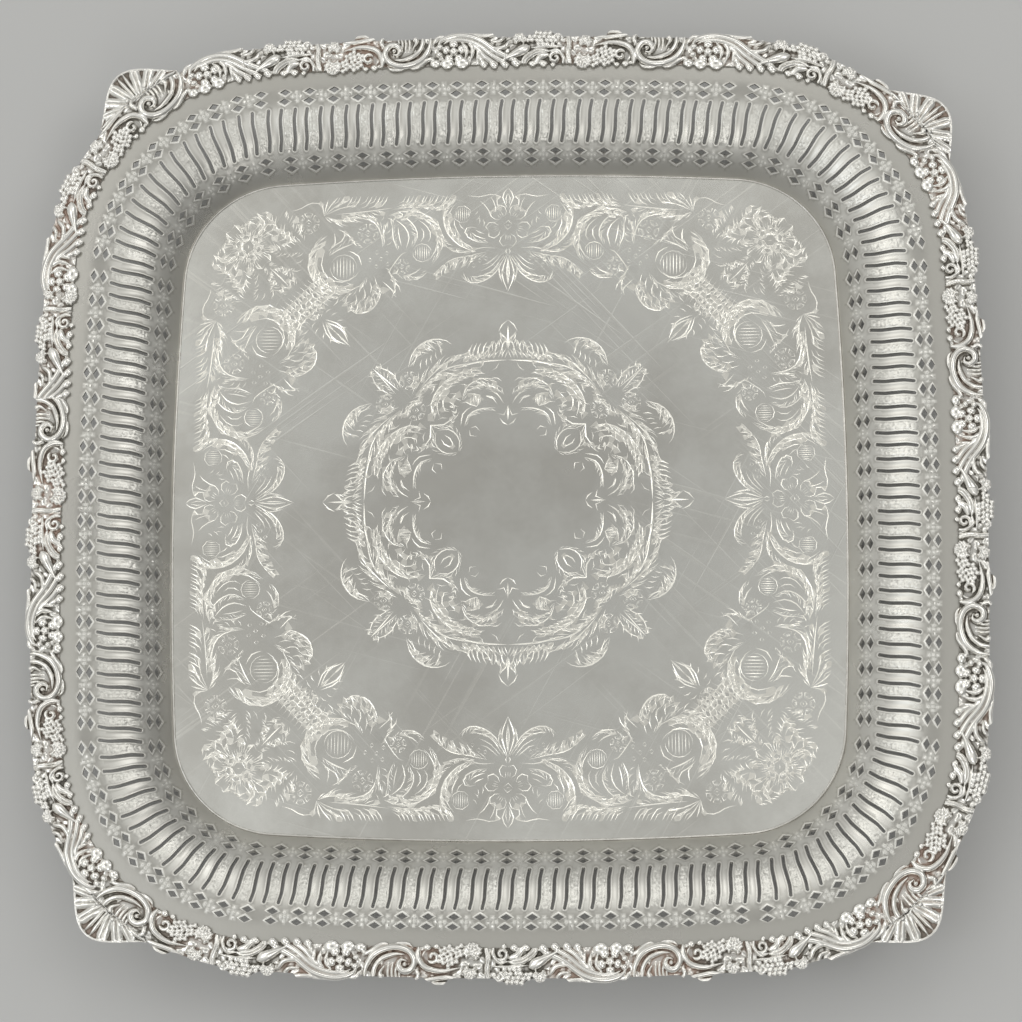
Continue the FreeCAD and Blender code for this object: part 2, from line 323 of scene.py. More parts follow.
class Relief:
    """A height field that takes the highest of the forms drawn on it."""

    def __init__(self, x0, x1, y0, y1, step):
        self.x0, self.y0, self.step = x0, y0, step
        self.x = np.arange(x0, x1 + step / 2, step)
        self.y = np.arange(y0, y1 + step / 2, step)
        self.h = np.zeros((len(self.x), len(self.y)))

    def window(self, low, high):
        i0, j0 = (max(0, int((a - b) / self.step) - 1) for a, b in zip(low, (self.x0, self.y0)))
        i1, j1 = (max(0, int((a - b) / self.step) + 2) for a, b in zip(high, (self.x0, self.y0)))
        where = slice(i0, i1), slice(j0, j1)
        return where, self.x[where[0]][:, None], self.y[where[1]][None, :]

    def rise(self, where, height):
        self.h[where] = np.maximum(self.h[where], height)

    def dome(self, at, radius, height, squash=1.0, turn=0.0, base=0.0):
        """A rounded boss, longer along its turn when squash is under 1."""
        where, x, y = self.window((at[0] - radius, at[1] - radius), (at[0] + radius, at[1] + radius))
        c, s = math.cos(turn), math.sin(turn)
        u, v = (x - at[0]) * c + (y - at[1]) * s, ((y - at[1]) * c - (x - at[0]) * s) / squash
        q = np.minimum(1.0, (u * u + v * v) / radius**2)
        self.rise(where, np.where(q < 1, base + height * np.sqrt(1 - q), 0.0))

    def clear(self, at, radius):
        """Levels the ground inside a circle."""
        where, x, y = self.window((at[0] - radius, at[1] - radius), (at[0] + radius, at[1] + radius))
        inside = np.hypot(x - at[0], y - at[1]) < radius
        self.h[where] = np.where(inside, 0.0, self.h[where])

    def ridge(self, points, width, height, taper=(0.35, 0.35), veined=False):
        """A form of a given half-width swept along a smooth line. taper is how much of each end narrows."""
        line = smooth_line(points, RIDGE_POINTS)
        steps = np.linspace(0.0, 1.0, len(line))
        swell = np.minimum(1.0, np.minimum(steps / max(taper[0], 1e-6), (1 - steps) / max(taper[1], 1e-6)))
        half = width * (0.18 + 0.82 * np.sin(swell * math.pi / 2))
        low, high = line.min(axis=0) - width, line.max(axis=0) + width
        where, x, y = self.window(low, high)
        best = np.full(np.broadcast(x, y).shape, 1e9)
        along = np.zeros_like(best)
        for a, b, wa, wb, ta, tb in zip(line[:-1], line[1:], half[:-1], half[1:], steps[:-1], steps[1:]):
            d = b - a
            length2 = float(d @ d) + 1e-12
            t = np.clip(((x - a[0]) * d[0] + (y - a[1]) * d[1]) / length2, 0, 1)
            ex, ey = x - a[0] - t * d[0], y - a[1] - t * d[1]
            q = np.sqrt(ex * ex + ey * ey) / (wa + (wb - wa) * t)
            nearer = q < best
            best = np.where(nearer, q, best)
            along = np.where(nearer, ta + (tb - ta) * t, along)
        q = np.minimum(best, 1.0)
        shape = np.sqrt(1 - q * q)
        if veined:
            shape *= 1 - 0.45 * np.exp(-((q / 0.16) ** 2))
        lift = 0.55 + 0.45 * np.sin(np.clip(along, 0, 1) * math.pi)
        self.rise(where, np.where(best < 1, height * lift * shape, 0.0))


def smooth_line(points, count):
    """A Catmull-Rom line of about count points through a few."""
    p = np.asarray(points, float)
    if len(p) == 2:
        t = np.linspace(0, 1, count // 4 + 2)[:, None]
        return p[0] + (p[1] - p[0]) * t
    ends = np.vstack([2 * p[0] - p[1], p, 2 * p[-1] - p[-2]])
    share = max(3, count // (len(p) - 1))
    t = np.linspace(0, 1, share, endpoint=False)[:, None]
    out = []
    for a, b, c, d in zip(ends[:-3], ends[1:-2], ends[2:-1], ends[3:]):
        bend, twist = 2 * a - 5 * b + 4 * c - d, 3 * b - a - 3 * c + d
        out.append(0.5 * (2 * b + (c - a) * t + bend * t**2 + twist * t**3))
    return np.vstack(out + [p[-1:]])


def spiral(at, radius, start, turns, shrink=0.22, count=14):
    """Points of a scroll that winds in from a radius; turns are anticlockwise when positive."""
    t = np.linspace(0.0, 1.0, count)
    angle = math.radians(start) + 2 * math.pi * turns * t
    r = radius * (1 - (1 - shrink) * t)
    return np.stack([at[0] + r * np.cos(angle), at[1] + r * np.sin(angle)], axis=1)


# Cast border: one unit of ornament, 110 long, from one flower to the next. It is drawn on a longer grid, and
# placed at x along the border and y outwards, as a reach.

UNIT = 110.0
UNIT_STEP = 0.125
UNIT_BEFORE = 30.0
UNIT_REACH = 38.0, 62.0
RELIEF_MAX = BORDER_TOP - FLANGE_TOP
RELIEF_SCALE = 0.80
GROUND_RISE = 0.30
CROWN, CROWN_AT, CROWN_HALF = 0.75, 50.0, 8.6


def unit_flower(g):
    """A cup of petals round a beaded eye, with crescents on one side and leaves under it."""
    x, y = 0.6, 49.4
    for k in range(5):
        angle = math.radians(18 + 72 * k)
        petal = (x + 3.5 * math.cos(angle), y + 3.5 * math.sin(angle))
        g.dome(petal, 2.0, 1.5, 0.82, angle + math.pi / 2, 0.5)
    g.dome((x, y), 1.9, 1.5, base=0.9)
    for k in range(6):
        angle = math.radians(60 * k)
        g.dome((x + math.cos(angle), y + math.sin(angle)), 0.55, 0.5, base=2.2)
    g.ridge([(-2.6, 53.8), (-5, 50.6), (-4.4, 46.2)], 0.95, 2.0)
    g.ridge([(-5, 54.6), (-7.6, 50.8), (-7, 45.8)], 1.1, 2.2)
    g.ridge([(-8, 54), (-10, 50), (-9.4, 45.6)], 1.0, 2.0)
    for at, radius, height in (
        ((6.7, 51.9), 1.7, 2.0),
        ((7, 48.3), 1.6, 1.9),
        ((-3, 44.2), 3.5, 2.2),
        ((3.6, 44), 3.3, 2.2),
        ((8.8, 44.2), 2.6, 2.1),
        ((10.2, 46.2), 1.2, 1.7),
    ):
        g.dome(at, radius, height, 0.85)
    g.ridge([(4, 56.8), (7.4, 56), (9.4, 53.4)], 1.2, 2.0)


def unit_fronds(g):
    """Broad ribs that rise from rounded tips on the inner edge and arch over the next flower."""
    ribs = (
        ([(-28.4, 44.4), (-18.6, 48.8), (-10.4, 54.8), (-2, 56.9), (5.2, 55.2), (7.8, 51.8)], 1.5, 2.6),
        ([(-23.6, 43.2), (-16.4, 47.2), (-10.2, 52.2), (-4, 54.6), (2, 54.6), (5, 53.2)], 1.25, 2.5),
        ([(-18.8, 42.8), (-13.2, 46.6), (-9.8, 50.6), (-6.6, 53)], 1.25, 2.3),
        ([(-14.2, 42.8), (-11.6, 45), (-10.2, 48)], 1.2, 2.1),
    )
    for points, width, height in ribs:
        g.ridge(points, width, height, (0.1, 0.35))
    for x, y, radius in ((-26.4, 43.8, 2.6), (-21.6, 43.2, 2.5), (-16.8, 43.0, 2.4), (-12.4, 43.2, 2.2)):
        g.dome((x, y), radius, 2.2, 0.72, 0.75)


def unit_c_scroll(g):
    """The big C: a heavy rib round its foot and up into a tight spiral, with a fluted bowl inside it."""
    rim = [(10.6, 57.8), (11.2, 52), (14.2, 46.8), (19.4, 44.2), (25, 43.8), (29.4, 45.8), (31, 49.6)]
    g.ridge(rim + [(29.2, 52.8), (26.2, 53.2), (24.4, 51), (25.4, 48.8), (27.6, 49)], 1.55, 2.9, (0.2, 0.3))
    g.dome((27, 50.6), 1.1, 2.6)
    g.ridge([(14.2, 58.2), (14.5, 52.8), (17.4, 48.6), (22.4, 46.6), (26.8, 46.6)], 1.15, 2.2, (0.2, 0.4))
    g.ridge([(17.2, 58.2), (17, 54.4), (18.8, 51)], 0.95, 2.0, (0.2, 0.6))
    g.dome((17.4, 55.6), 1.4, 2.3)
    for x in (20.0, 21.7, 23.3, 24.8):
        g.ridge([(x + 0.6, 57.6), (x, 54.0), (x + 0.4, 50.0)], 0.55, 1.1, (0.2, 0.3))
    g.ridge([(31.6, 52.6), (32.6, 55.2), (30.4, 57.8)], 1.2, 2.1, (0.3, 0.4))
    g.ridge([(10.2, 47.4), (13, 45.4), (17, 42.8), (21.6, 41.9)], 0.95, 2.0, (0.2, 0.4))
    g.ridge([(20.6, 42.2), (27, 42.1), (31.4, 43.6)], 0.9, 1.8, (0.3, 0.3))


def unit_grape_scroll(g):
    """A heavy hook over a curl, with round leaves under it and long ones along the outer edge."""
    g.ridge([(32.6, 42.9), (32.4, 47.4), (35.4, 51.6), (42, 53), (49.4, 51.6)], 1.4, 2.8, (0.2, 0.4))
    g.ridge(spiral((38.4, 47.4), 2.5, 150, -1.05, 0.25), 0.95, 2.4, (0.15, 0.2))
    g.dome((36, 43.5), 2.0, 2.1, 0.8)
    g.dome((39.8, 43.1), 1.7, 1.9, 0.8)
    g.ridge([(32.8, 57), (38, 56.4), (44, 55.6), (50, 55.9)], 1.2, 2.0)
    g.ridge([(36, 57.9), (41, 58.2), (47, 57.7)], 0.9, 1.7)


def bunch(g, at, size, turn, berry, height):
    """Grapes in staggered rows inside an oval."""
    c, s = math.cos(turn), math.sin(turn)
    rows = int(2 * size[1] / (berry * 1.6)) + 1
    for j in range(rows):
        v = (j - (rows - 1) / 2) * berry * 1.6
        reach = size[0] * math.sqrt(max(0.05, 1 - (v / (size[1] + berry * 0.5)) ** 2))
        steps = np.arange(-reach, reach, berry * 1.85) + (j % 2) * berry * 0.92
        for u in steps:
            du, dv = u + RNG.uniform(-0.15, 0.15), v + RNG.uniform(-0.15, 0.15)
            g.dome((at[0] + du * c - dv * s, at[1] + du * s + dv * c), berry, berry * 0.95, base=height)


def vine_leaf(g, at, size, turn, height):
    """Five pointed lobes with a vein down each."""
    for angle, length in ((0, 1.0), (55, 0.9), (-55, 0.9), (112, 0.72), (-112, 0.72)):
        a = turn + math.radians(angle)
        tip = (at[0] + size * length * math.cos(a), at[1] + size * length * math.sin(a))
        middle = (at[0] + size * 0.5 * length * math.cos(a), at[1] + size * 0.5 * length * math.sin(a))
        g.ridge([at, middle, tip], size * 0.30, height, (0.3, 0.5), veined=True)
        for turn_out in (-0.42, 0.42):
            reach = size * length * 0.80
            notch = (at[0] + reach * math.cos(a + turn_out), at[1] + reach * math.sin(a + turn_out))
            g.dome(notch, size * 0.17, height * 0.9)


def unit_vine(g):
    """Two bunches of grapes with two vine leaves, a stem and a tendril between them."""
    bunch(g, (45.8, 46.6), (5.6, 3.4), -0.45, 1.05, 1.2)
    vine_leaf(g, (54.4, 45.6), 4.8, math.radians(-80), 2.4)
    vine_leaf(g, (53.6, 53), 3.9, math.radians(100), 2.3)
    g.ridge([(61.4, 57.6), (60.6, 52.8), (61, 47.8), (59.8, 42.6)], 1.3, 2.3, (0.2, 0.2), veined=True)
    bunch(g, (71.4, 54.9), (6.4, 2.7), 0.03, 1.1, 1.2)
    g.ridge(spiral((65.6, 55), 2.3, 200, -1.0, 0.25), 0.8, 2.3, (0.15, 0.2))
    g.ridge([(62.6, 51), (69.4, 51.2), (77, 50.6)], 0.85, 2.1)


def unit_small_scroll(g):
    """A curled leaf on the inner half, with two tongues and three small domes behind it."""
    g.ridge(spiral((66.6, 46), 2.7, 150, -1.25, 0.2), 0.95, 2.6, (0.15, 0.2))
    g.ridge([(63.4, 42.6), (63, 46), (65.6, 49.4), (70.2, 48.8)], 0.95, 2.3, (0.2, 0.4))
    g.ridge([(69.6, 49.4), (75, 48.6), (79.6, 45.4), (80, 42.6)], 1.7, 2.5, (0.3, 0.3), veined=True)
    g.ridge([(69.4, 47.8), (73, 46.4), (75.2, 42.8)], 1.6, 2.2, (0.3, 0.2))
    g.dome((71.6, 43.4), 2.1, 2.1, 0.85)
    g.dome((76.4, 43.4), 2.0, 2.0, 0.85)
    g.dome((67.6, 42.7), 1.7, 1.8, 0.8)


def unit_petal(g):
    """The plain pointed petal, the leaf beside it, and the curls between it and the outer edge."""
    g.ridge([(77.8, 51.4), (82.4, 48.8), (89.6, 45)], 2.6, 2.9, (0.35, 0.8))
    vine_leaf(g, (82, 54.4), 3.7, math.radians(85), 2.4)
    g.ridge([(86, 54.4), (88.4, 51.2), (92.8, 50.4), (97, 52.8)], 1.2, 2.4, (0.2, 0.4))
    g.ridge([(88.4, 56.4), (90.6, 53.9), (94.4, 53.6)], 1.0, 2.1, (0.2, 0.4))
    g.ridge([(90.8, 57.8), (95.8, 56.6), (101, 57), (106, 58.2)], 1.1, 2.0, (0.2, 0.4))
    g.ridge([(92, 48.4), (97, 49.8), (101.6, 53.6)], 0.9, 1.9)


def unit_ground(g):
    """Small curled leaves that cover the ground between the larger forms."""
    for row, reach in enumerate((44.4, 47.6, 50.8, 54.0, 57.0)):
        for k in range(24):
            x = (k + 0.5 * (row % 2)) * UNIT / 24 + RNG.uniform(-0.6, 0.6)
            y = reach + RNG.uniform(-0.5, 0.5)
            heading = 1.1 * math.sin(x * 4 * math.pi / UNIT) + RNG.uniform(-0.5, 0.5)
            length, bend = RNG.uniform(3.2, 5.0), RNG.choice((-0.9, 0.9))
            tall = RNG.uniform(0.5, 0.95)
            for shift in (-UNIT, 0.0, UNIT):
                at = np.array([x + shift, y])
                if not g.x[0] + 6 < at[0] < g.x[-1] - 6:
                    continue
                middle = at + length * 0.55 * np.array([math.cos(heading), math.sin(heading)])
                tip = middle + length * 0.45 * np.array([math.cos(heading + bend), math.sin(heading + bend)])
                g.ridge([at, middle, tip], 1.25, tall, (0.25, 0.4))


# Rounds of ground levelled before the larger forms are drawn: x, reach and radius
CLEARED = (0.6, 49.4, 5.2), (23.0, 53.0, 5.6), (38.6, 48.0, 4.2), (66.6, 46.2, 3.4), (83.0, 48.0, 4.0)


def border_unit():
    """One unit's relief, with what is drawn past either end wrapped in at the other."""
    grid = Relief(-UNIT_BEFORE, UNIT + UNIT_BEFORE, *UNIT_REACH, UNIT_STEP)
    unit_ground(grid)
    for x, y, radius in CLEARED:
        for shift in (-UNIT, 0.0, UNIT):
            if grid.x[0] + radius < x + shift < grid.x[-1] - radius:
                grid.clear((x + shift, y), radius)
    unit_flower(grid)
    unit_fronds(grid)
    unit_c_scroll(grid)
    unit_grape_scroll(grid)
    unit_vine(grid)
    unit_small_scroll(grid)
    unit_petal(grid)
    n = int(round(UNIT / UNIT_STEP))
    k = int(round(UNIT_BEFORE / UNIT_STEP))
    whole = grid.h[k : k + n].copy()
    whole[n - k :] = np.maximum(whole[n - k :], grid.h[:k])
    whole[:k] = np.maximum(whole[:k], grid.h[k + n : k + n + k])
    return whole * RELIEF_SCALE, grid.y


# Runs at which the flowers stand. After the tenth the strip was cut to close the ring: up to the next flower
# the unit is not stretched, and within SPLICE it is read as if its flower stood at SPLICE_FLOWER.
FLOWER_RUNS = -68, 42, 145, 262, 371, 479, 596, 706, 814, 932, 970, 1083, 1186, 1300
CUT = 9
SPLICE, SPLICE_FLOWER = (937.0, 984.0), 884.0


def unit_phase(run):
    """Distance after a flower, 0 to 110, at each run round the border."""
    starts = np.asarray(FLOWER_RUNS, float)
    run = np.mod(run - starts[0], RING) + starts[0]
    k = np.clip(np.searchsorted(starts, run, side="right") - 1, 0, len(starts) - 2)
    first, last = starts[k], starts[k + 1]
    phase = (run - first) / (last - first) * UNIT
    phase = np.where(k == CUT, run - starts[CUT], phase)
    phase = np.where((run >= SPLICE[0]) & (run < SPLICE[1]), run - SPLICE_FLOWER, phase)
    return np.mod(phase, UNIT)


def sampled(table, ys, phase, reach):
    """Bilinear reading of the unit's relief, periodic along it."""
    fx = phase / UNIT_STEP
    fy = np.clip((reach - ys[0]) / UNIT_STEP, 0, len(ys) - 1.001)
    i, j = np.floor(fx).astype(int), np.floor(fy).astype(int)
    u, v = fx - i, fy - j
    i0, i1 = i % len(table), (i + 1) % len(table)
    low = table[i0, j] * (1 - u) + table[i1, j] * u
    high = table[i0, j + 1] * (1 - u) + table[i1, j + 1] * u
    return low * (1 - v) + high * v


def blurred(values, width):
    """A periodic row of values averaged over a width."""
    kernel = np.hanning(width + 2)[1:-1]
    kernel /= kernel.sum()
    padded = np.concatenate([values[-width:], values, values[:width]])
    return np.convolve(padded, kernel, mode="same")[width:-width]


def softened(table, spread):
    """The relief averaged over a spread, periodic along the unit."""
    along = np.fft.fftfreq(len(table), UNIT_STEP)[:, None]
    pad = np.pad(table, ((0, 0), (40, 40)), mode="edge")
    across = np.fft.fftfreq(pad.shape[1], UNIT_STEP)[None, :]
    keep = np.exp(-2 * (math.pi * spread) ** 2 * (along**2 + across**2))
    return np.fft.ifft2(np.fft.fft2(pad) * keep).real[:, 40:-40]


def recess_shade(table):
    """How dark the tarnish lies: deepest in the ground and beside tall forms, none on their tops."""
    return np.clip(1.3 * (softened(table, 0.8) - table) + 0.16 * smooth_step(1.0, 0.3, table), 0.0, 1.0)


# The casting's edge follows relief higher than this, within limits
OUTLINE_LEVEL = 1.15
INNER_LIMITS = 40.8, 43.6
OUTER_LIMITS = 55.8, BORDER_REACH


def unit_outline(table, ys):
    """Inner and outer reach of the casting at each step of the unit, where its relief begins and ends."""
    solid = table > OUTLINE_LEVEL
    inner = np.where(solid.any(axis=1), ys[solid.argmax(axis=1)], 43.0)
    outer = np.where(solid.any(axis=1), ys[len(ys) - 1 - solid[:, ::-1].argmax(axis=1)], 57.0)
    return np.clip(blurred(inner, 9), *INNER_LIMITS), np.clip(blurred(outer, 21), *OUTER_LIMITS)


BORDER_STEP = 0.24
BORDER_ROWS = 78
BORDER_GAP = 0.02  # between each end of a casting and its joint
PLAIN_SHADE = 0.3


def height_slab(runs, inner, outer, height, m):
    """A closed slab on the flange: relief on top in m rows, straight walls, and a flat underside."""
    n = len(runs)
    v = np.linspace(0.0, 1.0, m)
    reach = inner[:, None] + (outer - inner)[:, None] * v[None, :]
    x, y = ring_xy(runs[:, None] + 0 * reach, reach)
    top = np.stack([x, y, height(runs[:, None] + 0 * reach, reach)], axis=-1).reshape(-1, 3)
    index = np.arange(n * m).reshape(n, m)
    quads = np.stack([index[:-1, :-1], index[:-1, 1:], index[1:, 1:], index[1:, :-1]], axis=-1).reshape(-1, 4)
    low_in, low_out = n * m + np.arange(n), n * m + n + np.arange(n)
    under = np.concatenate([top.reshape(n, m, 3)[:, 0], top.reshape(n, m, 3)[:, -1]]).copy()
    under[:, 2] = FLANGE_TOP
    faces = [tuple(q[::-1]) for q in quads.tolist()]
    for i in range(n - 1):
        faces.append((index[i, 0], index[i + 1, 0], low_in[i + 1], low_in[i]))
        faces.append((index[i + 1, -1], index[i, -1], low_out[i], low_out[i + 1]))
        faces.append((low_in[i], low_in[i + 1], low_out[i + 1], low_out[i]))
    faces.append((*index[0].tolist(), low_out[0], low_in[0]))
    faces.append((*index[-1, ::-1].tolist(), low_in[-1], low_out[-1]))
    faces = [tuple(int(k) for k in f) for f in faces]
    return np.vstack([top, under]), faces, reach


def build_border(material):
    table, ys = border_unit()
    inner_table, outer_table = unit_outline(table, ys)
    crevice = recess_shade(table)
    steps = np.arange(len(table)) * UNIT_STEP

    def outline(runs, values):
        reach = np.interp(unit_phase(runs), np.append(steps, UNIT), np.append(values, values[0]))
        return np.convolve(np.pad(reach, 2, mode="edge"), np.ones(5) / 5, mode="valid")

    def height(runs, reach):
        relief = sampled(table, ys, unit_phase(runs), reach)
        crown = CROWN * np.clip(1 - ((reach - CROWN_AT) / CROWN_HALF) ** 2, 0, 1)
        return FLANGE_TOP + np.minimum(GROUND_RISE + crown + relief, RELIEF_MAX)

    length = QUARTER / 3
    for quarter in range(4):
        names = (
            f"border_{SIDES[quarter]}_first",
            f"border_{SIDES[quarter]}_second",
            f"border_corner_{CORNERS[quarter]}",
        )
        for k, node in enumerate(names):
            start = quarter * QUARTER + (k - 1) * length
            runs = np.linspace(start + BORDER_GAP, start + length - BORDER_GAP, int(length / BORDER_STEP))
            inner, outer = outline(runs, inner_table), outline(runs, outer_table)
            xyz, faces, reach = height_slab(runs, inner, outer, height, BORDER_ROWS)
            shade = sampled(crevice, ys, unit_phase(runs[:, None] + 0 * reach), reach).ravel()
            shade = np.concatenate([shade, np.full(len(xyz) - len(shade), PLAIN_SHADE)])
            piece(f"cast_{node}", xyz, faces, material, (node,), shade)


# Gallery: pierced sheet, drawn flat as (across, reach) with heights above the sheet, then bent to its section

SLOT_IN, SLOT_OUT = 11.2, 28.4
SLOT_HALF = 0.65
SLOT_HOOK, SLOT_LEAN = 1.1, 0.25
SLOT_PAIR_GAP = 0.54
INNER_ROWS, INNER_DIAMOND = (5.1, 8.3), (2.4, 1.1)
OUTER_ROWS, OUTER_DIAMOND = (31.3, 35.3), (2.3, 1.35)
OUTER_LEAN = 0.25
# In each length: pairs of slots, inner columns of diamonds, outer columns
SIDE_COUNTS = 18, 19, 19
CORNER_COUNTS = 8, 7, 11
WIDTH_AT = 20.0  # reach at which a flat length is as wide as the bent one
# Lips raised round the slots and diamonds. A diamond's is highest towards the field.
SLOT_LIP = 0.13
DIAMOND_LIP = 0.15
LIP_SHARE = np.array([0.7, 1.0, 1.0, 1.0, 0.7, 0.2, 0.1, 0.2])
PANEL_EDGE = 0.85
STIPPLE_PITCH = 0.58
GALLERY_SHARP = 50.0
MESH_CLEAR = 0.95  # the plain grid's points stay this far from the piercing


def on_section(reach, lift):
    """Reach and height of points lifted off the gallery's section along its normal."""
    centre = CROWN_RISE - WALL_R
    wall = np.minimum(reach, CROWN_REACH)
    rise = centre + np.sqrt(WALL_R**2 - (CROWN_REACH - wall) ** 2)
    scale = (WALL_R + lift) / WALL_R
    curved_reach = CROWN_REACH + (wall - CROWN_REACH) * scale
    curved_rise = centre + (rise - centre) * scale
    flat = reach > CROWN_REACH
    return np.where(flat, reach, curved_reach), FIELD_TOP + np.where(flat, CROWN_RISE + lift, curved_rise)


def slot_bend(reach):
    """Sideways offset of a slot's centre line: straight in the middle and hooked at its ends."""
    t = np.clip((reach - SLOT_IN) / (SLOT_OUT - SLOT_IN), -0.1, 1.1)
    lean = SLOT_LEAN * (1 - 2 * t)
    hook = (SLOT_HOOK - SLOT_LEAN) * (smooth_step(0.32, -0.05, t) - smooth_step(0.68, 1.05, t))
    return lean + hook


class Sheet:
    """Points, edges and heights of a flat sheet before it is triangulated."""

    def __init__(self, half_width, squeeze):
        self.half_width = half_width
        self.squeeze = squeeze
        self.points, self.heights, self.shades, self.edges = [], [], [], []

    def dots(self, across, reach, height, shade, margin=0.0):
        """Loose points, kept a margin inside the sheet's ends."""
        limit = self.half_width - margin
        self.points += list(zip(np.clip(across, -limit, limit), reach))
        self.heights += list(np.broadcast_to(height, len(across)))
        self.shades += list(np.broadcast_to(shade, len(across)))

    def loop(self, across, reach, height, shade):
        """A closed chain of points joined by edges."""
        first, n = len(self.points), len(across)
        self.dots(across, reach, height, shade, 0.02)
        self.edges += [(first + i, first + (i + 1) % n) for i in range(n)]


def slot_loop(sheet, at, grow):
    """Outline of a slot, grown by a margin: two flanks and two round ends."""
    reach = np.linspace(SLOT_IN + SLOT_HALF, SLOT_OUT - SLOT_HALF, 16)
    half = SLOT_HALF + grow
    turn = np.linspace(0, math.pi, 6)[1:-1]
    across = [slot_bend(reach) - half, slot_bend(reach[-1]) - half * np.cos(turn)]
    out = [reach, reach[-1] + half * np.sin(turn)]
    across += [slot_bend(reach[::-1]) + half, slot_bend(reach[0]) + half * np.cos(turn)]
    out += [reach[::-1], reach[0] - half * np.sin(turn)]
    across, out = np.concatenate(across), np.concatenate(out)
    return at + across * sheet.squeeze(out), out


def diamond_loop(sheet, at, row, sizes, grow):
    """Outline of a diamond with a point at each corner and in the middle of each side."""
    across = np.array([-1.0, -0.5, 0.0, 0.5, 1.0, 0.5, 0.0, -0.5]) * (sizes[0] + grow * 1.5)
    out = row + np.array([0.0, -0.5, -1.0, -0.5, 0.0, 0.5, 1.0, 0.5]) * (sizes[1] + grow)
    return at + across * sheet.squeeze(out), out


def slot_distance(sheet, across, reach, centres):
    """How far each point is outside the nearest slot."""
    nearest = np.full(np.shape(across), 1e9)
    span = np.clip(reach, SLOT_IN + SLOT_HALF, SLOT_OUT - SLOT_HALF)
    for at in centres:
        dx = (across - at) / sheet.squeeze(reach) - slot_bend(span)
        nearest = np.minimum(nearest, np.hypot(dx, reach - span) - SLOT_HALF)
    return nearest


def diamond_distance(sheet, across, reach, columns):
    """How far each point is outside the nearest diamond."""
    nearest = np.full(np.shape(across), 1e9)
    for at, row, (a, b) in columns:
        dx = np.abs(across - at) / sheet.squeeze(reach)
        nearest = np.minimum(nearest, (dx / a + np.abs(reach - row) / b - 1) * a * b / math.hypot(a, b))
    return nearest


def gallery_template(half_width, squeeze, counts):
    """Top and underside triangulations of one length of gallery."""
    pairs, inner, outer = counts
    sheet, under = Sheet(half_width, squeeze), Sheet(half_width, squeeze)
    cell = 2 * half_width / pairs
    slots = []
    for i in range(pairs):
        slots += [-half_width + (i + 0.5 + hand * SLOT_PAIR_GAP / 2) * cell for hand in (-1, 1)]
    columns = []
    for count, rows, sizes, lean in (
        (inner, INNER_ROWS, INNER_DIAMOND, 0.0),
        (outer, OUTER_ROWS, OUTER_DIAMOND, OUTER_LEAN),
    ):
        step = 2 * half_width / count
        for i in range(count):
            at = -half_width + (i + 0.5) * step
            columns += [(at + lean * sign, row, sizes) for row, sign in zip(rows, (1, -1))]
    # Round each hole go its edge, the top of its lip, and a line where the lip meets the sheet. Their shades
    # paint each hole's edge dark, as dirt and painted shade, and the top of its lip light, a painted
    # highlight that a diamond has mostly on its side towards the field. The underside's hole edges are
    # painted dark too.
    for at in slots:
        for grow, height, shade in ((0.0, 0.0, 0.7), (0.32, SLOT_LIP, -0.5), (0.80, 0.0, 0.30)):
            sheet.loop(*slot_loop(sheet, at, grow), height, shade)
        under.loop(*slot_loop(under, at, 0.0), 0.0, 0.5)
    for at, row, sizes in columns:
        for grow, height, shade in (
            (0.0, 0.02, 0.6),
            (0.22 + 0.26 * LIP_SHARE, DIAMOND_LIP * LIP_SHARE, 0.4 - 3.0 * LIP_SHARE),
            (0.50 + 0.48 * LIP_SHARE, 0.0, 0.38),
        ):
            sheet.loop(*diamond_loop(sheet, at, row, sizes, grow), height, shade)
        under.loop(*diamond_loop(under, at, row, sizes, 0.0), 0.0, 0.5)
    quatrefoils(sheet, half_width, inner, sum(INNER_ROWS) / 2, 0.8)
    quatrefoils(sheet, half_width, outer, sum(OUTER_ROWS) / 2, 1.0)
    stipple(sheet, slots)
    rows = np.concatenate([np.linspace(0, CROWN_REACH, 40), [39.5, 41.0, 45.0, 50.0, FLANGE_REACH]])
    cols = np.linspace(-half_width, half_width, int(2 * half_width / 1.4) + 1)
    grid_x, grid_y = (g.ravel() for g in np.meshgrid(cols, rows))
    border = (np.abs(np.abs(grid_x) - half_width) < 1e-6) | (grid_y < 1e-6) | (grid_y > FLANGE_REACH - 1e-6)
    away = np.minimum(
        slot_distance(sheet, grid_x, grid_y, slots), diamond_distance(sheet, grid_x, grid_y, columns)
    )
    keep = border | (away > MESH_CLEAR)
    # Darker from the outer row of diamonds out across the flange, and a little painted shade low on the wall
    # beside the field
    copper_wear_and_dark_flange = 0.34 * smooth_step(27.0, 31.0, grid_y) + 0.04 * smooth_step(11.0, 8.0, grid_y)
    for target in (sheet, under):
        target.dots(grid_x[keep], grid_y[keep], 0.0, copper_wear_and_dark_flange[keep])
    return [triangulated(t, slots, columns) for t in (sheet, under)]


def quatrefoils(sheet, half_width, count, reach, size):
    """Four punched beads round a fifth, between each two columns of diamonds. Each bead's top is painted
    light, a painted highlight, and the ring round it a little lighter.
    """
    step = 2 * half_width / count
    ring = np.arange(6) * math.pi / 3
    radius, pitch = size * 0.86, size * 1.75
    for i in range(count - 1):
        at = -half_width + (i + 1) * step
        for dx, dy in ((0, 0), (1, 0), (-1, 0), (0, 1), (0, -1)):
            x = at + dx * pitch * sheet.squeeze(reach) + RNG.uniform(-0.15, 0.15)
            y = reach + dy * pitch + RNG.uniform(-0.15, 0.15)
            sheet.loop(x + radius * np.cos(ring) * sheet.squeeze(y), y + radius * np.sin(ring), 0.0, -0.2)
            sheet.dots([x], [y], 0.27 * size, -2.4)


